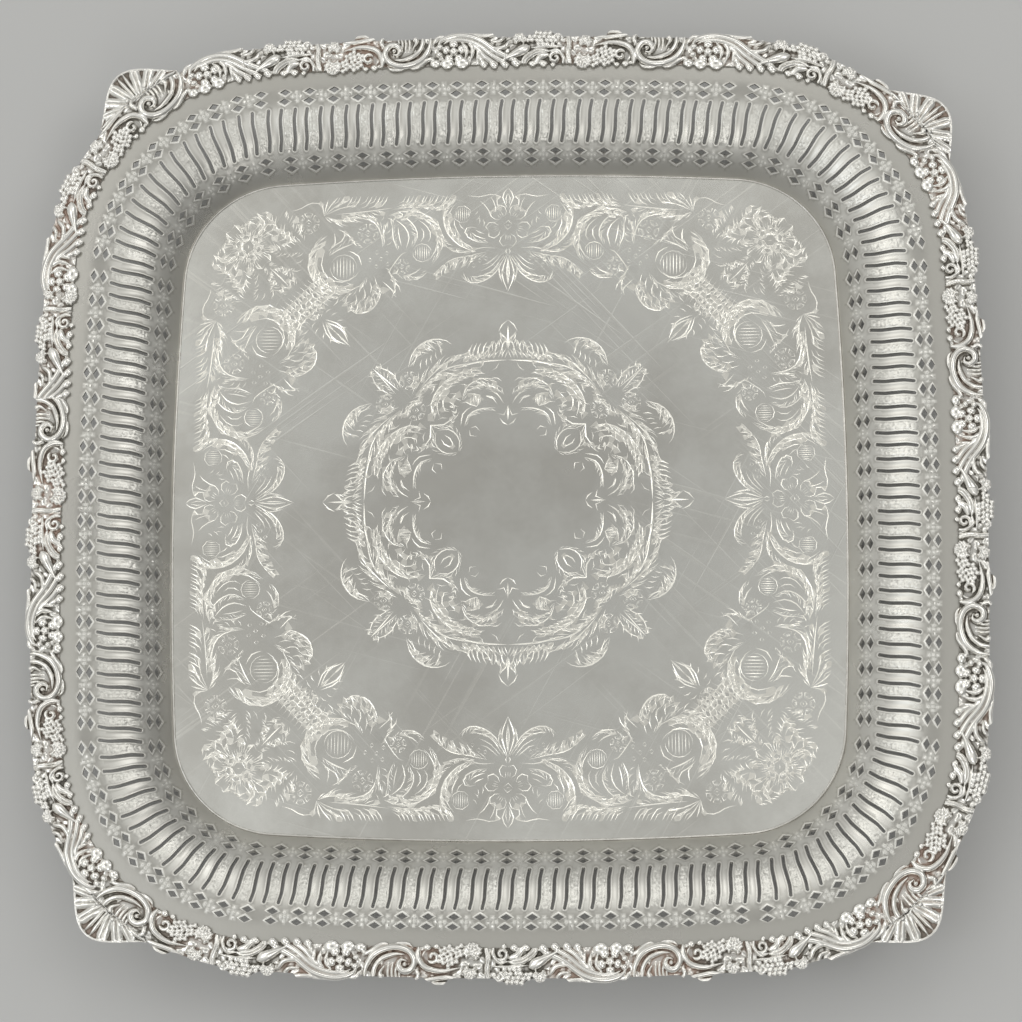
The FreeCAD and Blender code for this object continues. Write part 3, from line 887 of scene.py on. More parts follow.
def stipple(sheet, slots):
    """The matt panel between the two slots of each pair: a field of fine punched points. Each point is
    painted lighter the higher it stands, a painted highlight, and the ground between them darker, a painted
    shade.
    """
    for left, right in zip(slots[::2], slots[1::2]):
        width = (right - left) - 2 * (SLOT_HALF + PANEL_EDGE)
        across = np.arange(0, width + 0.01, STIPPLE_PITCH)
        out = np.arange(SLOT_IN + 0.6, SLOT_OUT - 0.6, STIPPLE_PITCH)
        x, y = (g.ravel() for g in np.meshgrid(across, out))
        x = x + RNG.uniform(-0.18, 0.18, x.shape)
        y = y + RNG.uniform(-0.18, 0.18, y.shape)
        high = RNG.random(x.shape)
        start = left + SLOT_HALF + PANEL_EDGE
        sheet.dots(start + x + slot_bend(y) * sheet.squeeze(y), y, 0.17 * high, 0.30 - 1.1 * high)


def triangulated(sheet, slots, columns):
    """Points, heights, shades and faces of a sheet, with its holes left open."""
    verts, _, faces, origin, _, _ = delaunay_2d_cdt(
        [Vector((float(x), float(y))) for x, y in sheet.points], sheet.edges, [], 0, 1e-5
    )
    flat = np.array([tuple(v) for v in verts])
    heights = np.array([sheet.heights[o[0]] if o else 0.0 for o in origin])
    shades = np.array([sheet.shades[o[0]] if o else 0.3 for o in origin])
    tris = np.array([tuple(f) for f in faces])
    middle = flat[tris].mean(axis=1)
    away = np.minimum(
        slot_distance(sheet, middle[:, 0], middle[:, 1], slots),
        diamond_distance(sheet, middle[:, 0], middle[:, 1], columns),
    )
    return flat, heights, shades, tris[away > 0.0]


def rim_edges(tris):
    """Edges that only one triangle uses, each in that triangle's direction."""
    edges = np.concatenate([tris[:, [0, 1]], tris[:, [1, 2]], tris[:, [2, 0]]])
    key = np.sort(edges, axis=1)
    _, inverse, count = np.unique(key, axis=0, return_inverse=True, return_counts=True)
    return edges[count[inverse.ravel()] == 1]


def build_gallery(material):
    side_width = SIDE_ANGLE * (SIDE_R + WIDTH_AT)
    corner_width = CORNER_ANGLE / 2 * (CORNER_R + WIDTH_AT)
    kinds = (
        ("gallery_{}", SIDES, side_width, SIDE_R, SIDE_COUNTS, 0.0),
        ("gallery_corner_{}", CORNERS, corner_width, CORNER_R, CORNER_COUNTS, QUARTER / 2),
    )
    for name, places, width, radius, counts, middle in kinds:

        def squeeze(reach, radius=radius):
            return (radius + WIDTH_AT) / (radius + reach)

        top, under = gallery_template(width, squeeze, counts)
        parts = []
        for (flat, heights, *_), base in ((top, 0.0), (under, -SHEET)):
            reach, z = on_section(flat[:, 1], heights + base)
            run = middle + flat[:, 0] / (radius + WIDTH_AT) * (radius + REF)
            x, y = ring_xy(run, reach)
            parts.append(np.stack([x, y, z], axis=1))
        offset = len(parts[0])
        below = {place_key(point): offset + i for i, point in enumerate(under[0])}
        walls = []
        for a, b in rim_edges(top[3]).tolist():
            ends = [below.get(place_key(top[0][k])) for k in (a, b)]
            if None not in ends:
                walls.append((b, a, *ends))
        faces = top[3].tolist() + (under[3][:, ::-1] + offset).tolist() + walls
        xyz = np.vstack(parts)
        shade = np.concatenate([top[2], under[2]])
        for quarter, place in enumerate(places):
            node = name.format(place)
            spun = turned(xyz, quarter)
            piece(f"pierced_{node}", spun, faces, material, (node,), shade, GALLERY_SHARP)


# Engraving: tapered strokes on the flat field, cut as V grooves. Each is drawn once, in the eighth of the
# field from the middle of the south side to the south-west corner, or once to a quarter, and then repeated.
# Points are distances west and south of the field's middle.

STROKE_WIDTH = 0.66  # share of the width asked for that is cut


def placed(points):
    """Plan positions of points given as distances west and south."""
    return 0.0 - np.asarray(points, float)


def arc(x, y, radius, start, sweep, count):
    """Points of an arc, with its angles in degrees."""
    angles = np.radians(np.linspace(start, start + sweep, count))
    return np.stack([x + radius * np.cos(angles), y + radius * np.sin(angles)], axis=1)


class Engraving:
    """A list of strokes. Each is repeated 8 times round the field, or 4 times without its mirror image."""

    def __init__(self):
        self.strokes = []

    def stroke(self, width, points, times, shape="swell"):
        """Adds a stroke at plan positions, with a little more or less width than asked for."""
        cut_width = width * STROKE_WIDTH * RNG.uniform(0.75, 1.15)
        self.strokes.append((np.asarray(points, float), cut_width, shape, times))

    def cut(self, width, *points, times=8):
        self.stroke(width, placed(points), times)

    def comma(self, width, *points, times=8):
        self.stroke(width, placed(points), times, "comma")

    def comb(self, width, line, count, length, lean, shrink=0.4):
        """A row of commas that leave a line at an angle, shorter towards its end."""
        path = smooth_line(placed(line), 40)
        for t in np.linspace(0.08, 0.96, count):
            k = min(len(path) - 2, int(t * (len(path) - 1)))
            along = path[k + 1] - path[k]
            heading = math.atan2(along[1], along[0]) + math.radians(lean)
            reach = length * (1 - shrink * t)
            step = np.array([math.cos(heading), math.sin(heading)])
            curl = np.array([-step[1], step[0]]) * math.copysign(0.22, lean)
            middle = path[k] + step * reach * 0.55 + curl * reach * 0.5
            self.stroke(width, (path[k], middle, path[k] + step * reach), 8, "comma")

    def frond(self, line, width, count, side, stroke=0.62, lobes=3):
        """Strokes that leave a spine on one side and curl forward to a lobed edge. side is 1 for the left."""
        path = smooth_line(placed(line), 80)
        n = len(path) - 1
        along = np.gradient(path, axis=0)
        along /= np.linalg.norm(along, axis=1, keepdims=True) + 1e-9
        normal = np.stack([-along[:, 1], along[:, 0]], axis=1) * side
        for t in np.linspace(0.03, 0.90, count):
            full = 0.35 + 0.65 * math.sin(math.pi * min(1.0, t * 0.95 + 0.05)) ** 0.7
            lobe = 0.72 + 0.28 * math.cos(2 * math.pi * (t * lobes + 0.1))
            spread = width * full * lobe
            i, j, k = int(t * n), min(n, int((t + 0.055) * n)), min(n, int((t + 0.15) * n))
            root, middle = path[i] + normal[i] * 0.3, path[j] + normal[j] * spread * 0.55
            self.stroke(stroke, (root, middle, path[k] + normal[k] * spread), 8, "comma")

    def disc(self, x, y, radius):
        """A hatched round, as in the eye of a scroll."""
        x, y = placed((x, y))
        for start in (20, 200):
            self.stroke(0.42, arc(x, y, radius, start, 170, 7), 8)
        for k in range(-3, 4):
            dx = k * radius * 0.24
            half = math.sqrt((radius * 0.86) ** 2 - dx * dx)
            self.stroke(0.46, ((x + dx, y - half), (x + dx + 0.1, y + half)), 8)

    def flower(self, x, y, radius, petals, ring, start=90.0, times=8):
        """A ring of notched petals round a beaded eye."""
        x, y = placed((x, y))
        for begin in (0, 180):
            self.stroke(0.5, arc(x, y, ring, begin, 170, 6), times)
        self.stroke(0.5, ((x - ring * 0.35, y), (x + ring * 0.35, y + 0.1)), times)
        spread = math.pi / petals * 0.86
        for k in range(petals):
            a = math.radians(start + 360 * k / petals)

            def at(turn, share):
                return x + radius * share * math.cos(a + turn), y + radius * share * math.sin(a + turn)

            for flank in (-spread, spread):
                edge = at(flank * 0.5, 0.42), at(flank, 0.78), at(flank * 0.45, 1.02), at(0, 0.92)
                self.stroke(0.62, edge, times)
            for turn in (-0.3, 0.0, 0.3):
                self.stroke(0.36, (at(turn * spread, 0.72), at(turn * spread * 1.1, 0.44)), times, "comma")

    def seeds(self, *places):
        """Small rounds."""
        for x, y in placed(places):
            for begin in (0, 180):
                self.stroke(0.38, arc(x, y, 0.85, begin, 165, 5), 8)


# Edges of leaves. Each is cut along with its scroll, and filled with a frond's strokes afterwards.
PALMETTE_LEAF = (1, 109), (5.2, 101.4), (11, 97.2), (17, 96.8), (20.6, 100.2)
FIRST_RIM = (14, 110.6), (21, 113.4), (26.6, 119.4), (28.4, 127), (26.2, 132.4), (22.6, 135.6)
FIRST_HOOK = (8.4, 114.4), (14, 115.2), (18.8, 118.4), (17.6, 121.8), (13.4, 121.2)
BELL_LEAF = (8.6, 110.6), (17, 108.8), (25.4, 106.8), (33, 100.4)
SECOND_RIM = (33.6, 104.6), (29.6, 110), (28.4, 117), (31, 123.6), (37, 128.2), (45, 129.8), (52.4, 127.4)
SECOND_LEAF = (42, 112.6), (39.6, 118.4), (42.6, 124.6), (48.6, 128)
SECOND_TONGUE = (48.2, 111.6), (50.4, 117.2), (50.6, 123.6)
THIRD_RIM = (80.4, 119.6), (86.4, 112.4), (87.6, 104), (83.2, 96.4), (75.4, 92.8), (66.8, 94.2)
THIRD_CREST = (70.2, 86.8), (66.4, 83.4), (60.6, 84.4), (56.6, 89), (54.6, 95.4)
THIRD_TAIL = (54.8, 112.6), (55.8, 119.6), (59, 124.6), (65.6, 126.6), (73, 125.4)
WREATH_RIM = (31.8, 35), (33.4, 42.4), (29.8, 50), (22.6, 55.8), (12, 59)
WREATH_CURL = (19.8, 44), (18.2, 49.6), (12.4, 53.6), (4.6, 53.6)
WREATH_TIP = (18.8, 32.6), (17, 37.8), (12, 40.4), (5.4, 40.8)
WREATH_OUTER = (43.4, 58.6), (41.2, 66), (35.2, 70.8), (28.4, 71.4), (24.2, 69)
WREATH_SPUR = (47.4, 48.8), (53.2, 53.8), (58.6, 58.6)
WREATH_INNER = (21.4, 21.4), (21, 27), (25, 31.4), (30.6, 31)


def engrave_daisy(e):
    """The daisy at the middle of each side, the palmette above it and the leaves below."""
    e.flower(0, 122.5, 9.6, 5, 2.0, times=4)
    e.cut(0.8, (0.3, 130), (2.4, 135.4), (0, 139.4))
    e.cut(0.7, (0.6, 131.5), (0.9, 134.5), (0.2, 137))
    e.cut(0.8, (2.4, 130.6), (5.4, 132.4), (3.4, 135.8))
    e.cut(0.7, (5.4, 128.4), (5.8, 132), (7.6, 135.4))
    e.cut(0.7, (7.4, 127), (9.6, 131), (12.4, 133.6))
    e.cut(0.6, (3, 135.2), (7, 136.6), (12.6, 135.4), (18, 136.2))
    e.cut(0.9, (0.2, 109.4), (2.6, 100.4), (0, 92.4))
    e.cut(0.7, (0, 108), (0.5, 101), (0, 95.6))
    e.cut(0.8, (0.6, 109.2), (3.9, 103), (3.2, 97.4))
    e.cut(0.6, (2, 102), (3.3, 99.4), (2.6, 96.4))
    e.cut(0.6, (0.4, 112), (1, 110.6), (0.3, 109.2))
    e.cut(0.9, *PALMETTE_LEAF)
    e.cut(0.8, (2, 108.8), (6, 102.8), (11.4, 99.6), (15.8, 99.4))
    e.cut(0.7, (3, 109), (7.2, 104.2), (12, 101.8))
    e.cut(0.6, (4, 109.4), (8.4, 105.6), (11.6, 104.4))
    e.seeds((15, 104.4), (12.4, 106.6), (15.6, 107), (9.6, 107.4))


def engrave_first_scroll(e):
    """The scroll beside the daisy, its bell leaf, and the frond that runs up to the next scroll."""
    e.disc(20, 127.6, 3.9)
    e.cut(1.0, *FIRST_RIM)
    e.cut(0.85, (17, 113.6), (23, 117), (25.8, 122.6), (25.6, 128.6), (22.6, 132.8))
    e.cut(0.8, (20.6, 117.6), (23.2, 121.6), (23.6, 125.6))
    e.cut(0.7, (18.8, 120.4), (21, 122.4), (21.6, 124))
    e.cut(0.9, *FIRST_HOOK)
    e.cut(0.7, (9.4, 116.2), (13.4, 117.4), (16.2, 119.4))
    e.cut(0.7, (10, 118.4), (12.6, 119.4), (14.6, 120.6))
    e.cut(0.7, (5, 112), (12, 112.4), (18, 110.4), (24, 110.8), (28.6, 114.8))
    e.cut(0.8, *BELL_LEAF)
    e.comb(0.85, [(14, 109.4), (22, 107.8), (28, 105), (33, 100.6)], 7, 6.2, -62, 0.45)
    e.comb(0.6, [(10, 121.6), (13.6, 123.6), (15, 127.6)], 4, 3.4, 60, 0.2)


def engrave_second_scroll(e):
    """The middle scroll, with a split leaf inside it and a small flower above."""
    e.disc(37.6, 110.4, 4.1)
    e.cut(1.1, *SECOND_RIM)
    e.cut(0.9, (36, 105.8), (32.4, 109.8), (30.8, 115.8), (32.4, 121.6), (37, 126), (43, 127.8))
    e.cut(0.8, (35.2, 114.8), (33.8, 118.2), (35.6, 122.4), (39.4, 125.4))
    e.cut(0.8, (38.4, 115), (36.6, 118.8), (38.6, 122.2))
    e.cut(0.9, *SECOND_LEAF)
    e.cut(0.8, (44.8, 112), (43.4, 117.4), (45.4, 122.4), (49.6, 125.6))
    e.cut(0.9, *SECOND_TONGUE)
    e.cut(0.7, (46.6, 113.4), (47.8, 118), (48.2, 122.4))
    e.comb(0.7, [(40.6, 127), (46, 127), (51, 124.6)], 5, 3.6, 58, 0.2)
    e.flower(46.4, 104.2, 3.8, 5, 1.0)
    e.cut(0.9, (35.2, 101.8), (39.2, 98.6), (45.4, 98.2))
    e.cut(0.8, (38, 103.6), (41.6, 100.8), (46, 100.2))
    e.cut(0.8, (52, 101.4), (49.4, 96), (50.6, 90))
    e.cut(0.7, (54.8, 97.6), (51.6, 94.8), (49.4, 92.4))
    e.cut(0.7, (51.4, 98.6), (48.2, 96.4), (46.8, 92.6))
    e.cut(0.6, (52.4, 101.8), (47, 109.4), (44, 111))


def engrave_third_scroll(e):
    """The large scroll near the corner, with fronds above it and seeds and a rosette beside it."""
    e.disc(72, 104, 5.9)
    e.cut(1.2, *THIRD_RIM, (61.2, 100.4))
    e.cut(1.0, (80.6, 116), (84.4, 110), (84.8, 103.6), (81, 97.8), (74.6, 95.2), (67.6, 96.6))
    e.cut(0.9, (80.2, 112), (81.8, 105.8), (79.6, 100.4), (74.6, 97.6), (68.4, 98.8), (64.6, 103))
    e.cut(0.8, (64, 104.6), (65.6, 109.4), (70, 111.8))
    e.cut(0.9, (78.6, 109.4), (74, 112.4), (67.6, 115))
    e.cut(0.8, (78.8, 111.4), (75.8, 115.4), (76.4, 120.2))
    e.cut(0.8, (77.6, 113.4), (72.4, 116.6), (71.6, 121))
    e.cut(1.0, *THIRD_CREST)
    e.comb(0.95, [(58, 97.6), (60, 92.6), (64, 88.6), (69, 87.6)], 6, 6.0, -58, 0.3)
    e.comb(0.9, [(57.4, 101), (62, 96.6), (68, 91.4), (75, 90.4)], 6, 6.4, -50, 0.3)
    e.comb(0.8, [(66, 95.8), (73, 93.4), (80, 94.8), (85.6, 100.4)], 7, 4.0, 58, 0.2)
    e.seeds((52.6, 105.4), (55.6, 107.8), (53, 110.4), (57.6, 104.4), (60.4, 107.4), (57.4, 110.8))
    e.flower(61.4, 119.4, 5.0, 5, 1.4)
    e.cut(0.9, *THIRD_TAIL)
    e.cut(0.8, (66.2, 113.6), (70, 118.8), (74.6, 121.6))
    e.comb(0.7, [(53.6, 113), (53.4, 119), (56, 125.6)], 5, 3.4, 50, 0.2)


def engrave_fringe(e):
    """Commas that hang in groups along the edge of the field."""
    for x in (23, 26.4, 30.4, 33.4, 36.4, 39.6, 43, 52.6, 56, 59.6, 64.6, 68.2, 72):
        e.comma(1.1, (x + 5.4, 130.8), (x + 2.2, 132.2), (x, 136.4))
        e.comma(0.8, (x + 5.6, 132.4), (x + 3, 133.8), (x + 1.6, 136.6))
    e.cut(0.7, (26, 129.4), (38, 131.2), (51, 130.2))
    e.cut(0.7, (50, 131), (62, 129.4), (76, 128.2))
    e.cut(0.9, (80.8, 127.4), (74, 125.6), (67.4, 127.4))
    for tip in ((66.6, 132.4), (69.4, 135.2), (74.6, 136.2), (79, 135), (82.4, 134.4)):
        knee = (0.45 * tip[0] + 0.55 * 80.8, 0.45 * tip[1] + 0.55 * 127.6 + 0.9)
        e.comma(1.0, (80.8, 127.6), knee, tip)


def engrave_corner(e):
    """The corner flower, its leaves, the lattice behind it and the sprig that points to the centre."""
    e.flower(87.6, 124.4, 5.4, 6, 1.5)
    e.cut(0.9, (92.6, 116.4), (99, 119.6), (106.4, 128.4))
    e.comb(1.0, [(92, 118), (98, 121.6), (105, 125.4), (110, 126)], 7, 7.4, -66, 0.25)
    e.comb(0.9, [(92.4, 115), (97, 112.4), (103, 112)], 5, 5.0, 55, 0.3)
    e.cut(0.8, (95.6, 130), (91.4, 131), (86.6, 133.6), (81, 133))
    e.flower(114, 114, 11.6, 6, 2.7, 45.0, times=4)
    e.flower(114, 114, 6.2, 6, 3.6, 75.0, times=4)
    for k in range(-5, 6):
        d = k * 2.3 * 0.707
        x, y = 88 - d, 88 + d
        for sign in (-1, 1):
            bow = 4.4 * sign * 0.35
            ends = (x + 4.4, y + 4.4 - 2.4 * sign), (x - 4.4, y - 4.4 + 2.4 * sign)
            e.cut(0.42, ends[0], (x + bow, y + bow), ends[1], times=4)
    for offset in (-4.6, -1.6, 1.6, 4.6):
        d = offset * 0.707
        e.cut(0.42, (99 - d, 77 - d), (88 - d, 88 - d), (77 - d, 99 - d), times=4)
    e.flower(84.6, 84.6, 4.4, 6, 1.1, 45.0, times=4)
    e.cut(0.9, (80, 80), (76.4, 72.6), (70.2, 69.4))
    e.cut(0.8, (80, 81), (73.4, 78.4), (69.6, 72.6))
    e.cut(0.7, (79, 79.6), (73, 72.8), (68.6, 68.6))
    e.comb(0.8, [(80.6, 84), (76, 81.4), (72.4, 76.4)], 4, 3.8, -60, 0.3)
    e.comb(0.8, [(102.4, 93.4), (98.4, 97.6), (94, 104.4), (93, 110)], 6, 5.4, 52, 0.2)
    e.cut(0.9, (104.6, 104.6), (99.4, 99), (96, 96), times=4)
    for tip in ((129.4, 110.6), (124.4, 102.6)):
        e.comma(1.0, (119, 108.4), (123.6, 106.8), tip)


def engrave_wreath(e):
    """The central wreath: fronds sweeping to a leaf on each axis, scrolls, and flowers on each diagonal."""
    e.cut(0.9, (4.2, 74.4), (2.2, 78.2), (0, 79.8))
    e.cut(0.8, (3.6, 73.6), (1, 71.6), (0.4, 67.6))
    e.cut(0.6, (0, 77.4), (0.2, 72.4), (0, 66.4))
    e.cut(1.0, (23, 58.4), (12.6, 61.2), (0, 62))
    e.comb(1.0, [(18, 60.6), (11, 62.4), (2, 64)], 7, 8.4, -64, 0.05)
    e.cut(1.1, (39.6, 46), (34, 53.2), (26, 58.6), (15, 61))
    e.cut(1.0, (38, 50), (31.4, 57.4), (24.4, 62.8), (17, 65.4))
    e.cut(0.8, (36.8, 48.8), (32.2, 53.2), (27, 56.8))
    e.cut(0.8, (34.6, 54.8), (29.4, 59.4), (23.6, 62))
    e.cut(1.1, *WREATH_RIM)
    e.cut(0.95, (29.4, 36.4), (30.8, 43), (27.6, 49), (20.6, 53.8), (11, 56.6))
    e.cut(0.8, (27.4, 39.4), (28.2, 44), (25.2, 48.2))
    e.cut(0.8, (25.6, 43.4), (23.2, 46.2), (20.8, 48.6))
    e.comb(0.85, [(28, 50.6), (21, 55), (12, 57.6)], 7, 4.4, 40, 0.2)
    e.disc(14.2, 44.4, 2.9)
    e.cut(1.0, *WREATH_TIP)
    e.cut(0.8, (20.4, 33), (19.4, 38.6), (15.6, 41.4))
    e.cut(1.0, *WREATH_CURL)
    e.cut(0.8, (17.6, 48.2), (13, 50.8), (6.6, 50.4), (1.6, 46.6))
    e.cut(0.7, (9.4, 46.4), (6.4, 45), (4.6, 42.4))
    e.cut(0.7, (9, 48.6), (4.6, 46.8), (1.8, 42.6))
    e.comb(0.75, [(14, 52.4), (8, 52.2), (2, 49.4)], 6, 3.8, 48, 0.2)
    for start, sweep in ((60, 150), (220, 130)):
        e.cut(0.55, *arc(14.6, 30.4, -2.4, start, sweep, 6))
    e.cut(0.9, (3.6, 36.4), (1.8, 34), (0, 33.2))
    e.cut(0.8, (4.8, 38.4), (2, 37.4), (0.4, 40.8))
    e.cut(0.6, (0, 35.4), (0.3, 38.4), (0, 42))
    e.flower(40, 40, 5.0, 6, 1.3, 45.0, times=4)
    e.flower(42.8, 53.2, 4.6, 5, 1.3)
    e.cut(1.1, *WREATH_OUTER)
    e.cut(0.8, (41.4, 59.4), (39, 64.8), (34, 68.4))
    e.comb(0.85, [(40, 67), (36, 69.6), (30, 70.4)], 5, 5.4, 62, 0.2)
    e.comb(0.85, [(38.6, 57.6), (33, 60.6), (28, 64.6)], 5, 4.4, -60, 0.2)
    e.cut(0.9, *WREATH_SPUR)
    e.cut(0.9, (46.4, 50), (51, 57), (57.4, 59.6))
    e.comb(0.8, [(47, 51), (51, 55), (56, 58.4)], 4, 4.0, 56, 0.2)
    e.cut(0.9, *WREATH_INNER)
    e.cut(0.8, (24, 22.6), (24.2, 26.6), (27.4, 29))
    e.cut(0.9, (33.6, 33.4), (27, 33.8), (23.6, 37.6))
    e.comb(0.7, [(24, 33.6), (22, 37.8), (23, 41.6)], 4, 3.0, -58, 0.2)


def engrave_fronds(e):
    """The close strokes that fill the acanthus leaves of every scroll."""
    e.frond(PALMETTE_LEAF, 3.4, 12, 1, 0.55)
    e.frond(FIRST_RIM[:-1], 4.2, 15, 1, 0.6)
    e.frond([(15, 110.4), (22, 112.6), (28, 118), (30.4, 126)], 3.0, 12, -1, 0.5)
    e.frond(FIRST_HOOK[:-1], 2.6, 9, 1, 0.5, 2)
    e.frond(BELL_LEAF, 4.6, 15, -1, 0.7)
    e.frond(SECOND_RIM[:-1], 4.0, 18, -1, 0.6, 4)
    e.frond([(36, 126.6), (44, 128.8), (52, 126.2), (55.6, 119.6)], 3.6, 12, -1, 0.55)
    e.frond(SECOND_LEAF, 3.0, 12, -1, 0.5)
    e.frond(SECOND_TONGUE, 2.4, 8, 1, 0.5, 2)
    e.frond([(34.8, 102.6), (39.2, 98.6), (45.4, 98.2), (49.8, 101)], 2.6, 10, 1, 0.5, 2)
    e.frond(THIRD_RIM[::-1], 4.6, 24, 1, 0.65, 5)
    e.frond([(61.2, 100.4), (66.8, 94.2), (75.4, 91.6), (84, 94.6)], 3.4, 14, -1, 0.6, 4)
    e.frond(THIRD_CREST, 3.6, 13, -1, 0.6)
    e.frond([(55.4, 96.4), (60.4, 92), (66, 89.6), (72.6, 88.8)], 3.0, 11, -1, 0.6)
    e.frond([(78.6, 109.4), (74, 112.4), (67.6, 115), (64.6, 112)], 3.0, 10, -1, 0.5, 2)
    e.frond(THIRD_TAIL, 3.0, 15, 1, 0.55, 4)
    e.frond([(54, 104), (50.6, 97.6), (50.2, 90.4)], 2.6, 8, -1, 0.5, 2)
    e.frond([(80.8, 127.4), (73, 126), (64, 128.8), (54, 130.6)], 4.6, 16, 1, 0.75, 4)
    e.frond([(50, 130.8), (40, 130.6), (30, 129.2), (22, 133)], 4.4, 16, -1, 0.75, 4)
    # Leaves massed round the corner flower
    e.frond([(90, 114.6), (97, 116.8), (103, 121.6), (108, 128.4)], 5.6, 15, 1, 0.7, 4)
    e.frond([(89.4, 116), (95, 122), (99.6, 129)], 5.2, 13, 1, 0.75, 3)
    e.frond([(90.6, 112), (97, 111.4), (104, 113.2)], 3.6, 11, -1, 0.6, 3)
    e.frond([(93, 104.6), (98, 104.8), (104, 108)], 3.6, 11, -1, 0.6, 3)
    e.frond([(92.6, 96), (97, 100.4), (103, 102.8)], 3.8, 11, 1, 0.6, 3)
    e.frond([(118, 122.6), (113, 127.6), (105.6, 131)], 3.4, 10, 1, 0.7, 3)
    for turn in (0.5, 1.5, 2.5, 3.5, 4.5, 5.5):
        a = math.radians(45 + 60 * turn)
        c, s = math.cos(a), math.sin(a)
        for across in (-2.4, -1.2, 0.0, 1.2, 2.4):
            start = (114 - 6.6 * c + across * 0.6 * s, 114 - 6.6 * s - across * 0.6 * c)
            end = (114 - 10.8 * c + across * 1.2 * s, 114 - 10.8 * s - across * 1.2 * c)
            if max(end) < 135 and math.hypot(*end) < 174:
                e.comma(0.6, start, end, times=4)
    # Wreath
    e.frond([(46, 36), (40.4, 47), (31, 56), (18, 60.8)], 4.4, 18, 1, 0.75, 4)
    e.frond([(42, 46), (34, 56), (25, 61.6), (13, 62.4)], 3.6, 16, -1, 0.7, 4)
    e.frond([(20, 60.8), (13, 61.8), (5, 62.4), (0, 62.4)], 6.4, 10, -1, 0.9, 1)
    e.frond([(16, 61.8), (9, 64), (3, 68), (1, 74)], 4.6, 11, -1, 0.75, 2)
    e.frond(WREATH_RIM, 3.8, 18, 1, 0.6, 4)
    e.frond(WREATH_CURL, 3.2, 13, 1, 0.55, 3)
    e.frond(WREATH_TIP, 2.4, 10, 1, 0.5, 2)
    e.frond(WREATH_OUTER[:-1], 4.2, 12, 1, 0.65, 3)
    e.frond(WREATH_SPUR, 3.2, 9, 1, 0.6, 2)
    e.frond([(33.6, 33.4), (27, 33.8), (23.6, 37.6), (24.6, 43)], 2.8, 10, 1, 0.5, 3)
    e.frond(WREATH_INNER, 2.4, 9, 1, 0.5, 2)


def engrave_feathering(e):
    """Fine strokes laid between the wreath's leaves, all sweeping one way round it."""
    for radius in (47.5, 51.0, 54.5, 58.0, 65.0):
        for k in range(1, 9):
            turn = math.radians(3.0 + 4.8 * (k + RNG.uniform(-0.3, 0.3)))
            r = radius + RNG.uniform(-1.2, 1.2)
            heading = math.radians(RNG.uniform(22.0, 40.0)) * (-1 if radius > 56 else 1)
            length = RNG.uniform(3.4, 5.2)
            along = np.array([-math.cos(turn), math.sin(turn)])
            out = np.array([math.sin(turn), math.cos(turn)])
            start = r * out
            middle = start + length * 0.55 * (along * math.cos(heading) - out * math.sin(heading) * 0.6)
            tip = start + length * (along * math.cos(heading) - out * math.sin(heading) * 1.3)
            e.comma(0.55, start, middle, tip)


def field_strokes():
    """Every stroke of the engraving, in the order in which they are cut."""
    e = Engraving()
    engrave_daisy(e)
    engrave_first_scroll(e)
    engrave_second_scroll(e)
    engrave_third_scroll(e)
    engrave_fringe(e)
    engrave_corner(e)
    engrave_wreath(e)
    engrave_fronds(e)
    engrave_feathering(e)
    return e.strokes


# Strokes: the longest facet along one, and the range of depths for its half-width. A stroke that crosses
# another goes CROSSING deep there, and points closer than MERGED become one.
GROOVE_STEP = 2.4
GROOVE_SLOPES = 0.14, 0.36
CROSSING = 0.06
MERGED = 0.035
FIELD_SHARP = 5.0
HEAD_AT = 0.78  # where a comma is widest, as a share of its length


def groove(points, width, shape):
    """Centre line, left flank, right flank and half-width of one stroke."""
    line = smooth_line(points, 12)
    run = np.append(0.0, np.cumsum(np.linalg.norm(np.diff(line, axis=0), axis=1)))
    t = np.linspace(0.0, 1.0, int(np.clip(run[-1] / GROOVE_STEP, 2, 9)) + 1)
    line = np.stack([np.interp(t * run[-1], run, line[:, axis]) for axis in (0, 1)], axis=1)
    if shape == "comma":
        head = np.sqrt(np.maximum(0.0, 1 - ((t - HEAD_AT) / 0.22) ** 2))
        swell = np.where(t < HEAD_AT, (t / HEAD_AT) ** 0.8, head)
    else:
        swell = np.sin(math.pi * t)
    half = 0.5 * width * swell
    along = np.gradient(line, axis=0)
    along /= np.linalg.norm(along, axis=1, keepdims=True) + 1e-9
    across = np.stack([-along[:, 1], along[:, 0]], axis=1) * half[:, None]
    return line, line + across, line - across, half


def plain_grid():
    """Loose points over the field, set a little off its axes of symmetry."""
    grid = np.arange(-140, 141, 7.0)
    gx, gy = (g.ravel() for g in np.meshgrid(grid, grid))
    inside = (np.maximum(np.abs(gx), np.abs(gy)) < 138) & (np.hypot(gx, gy) < 176)
    return np.column_stack([gx[inside] + 0.37, gy[inside] + 0.29])


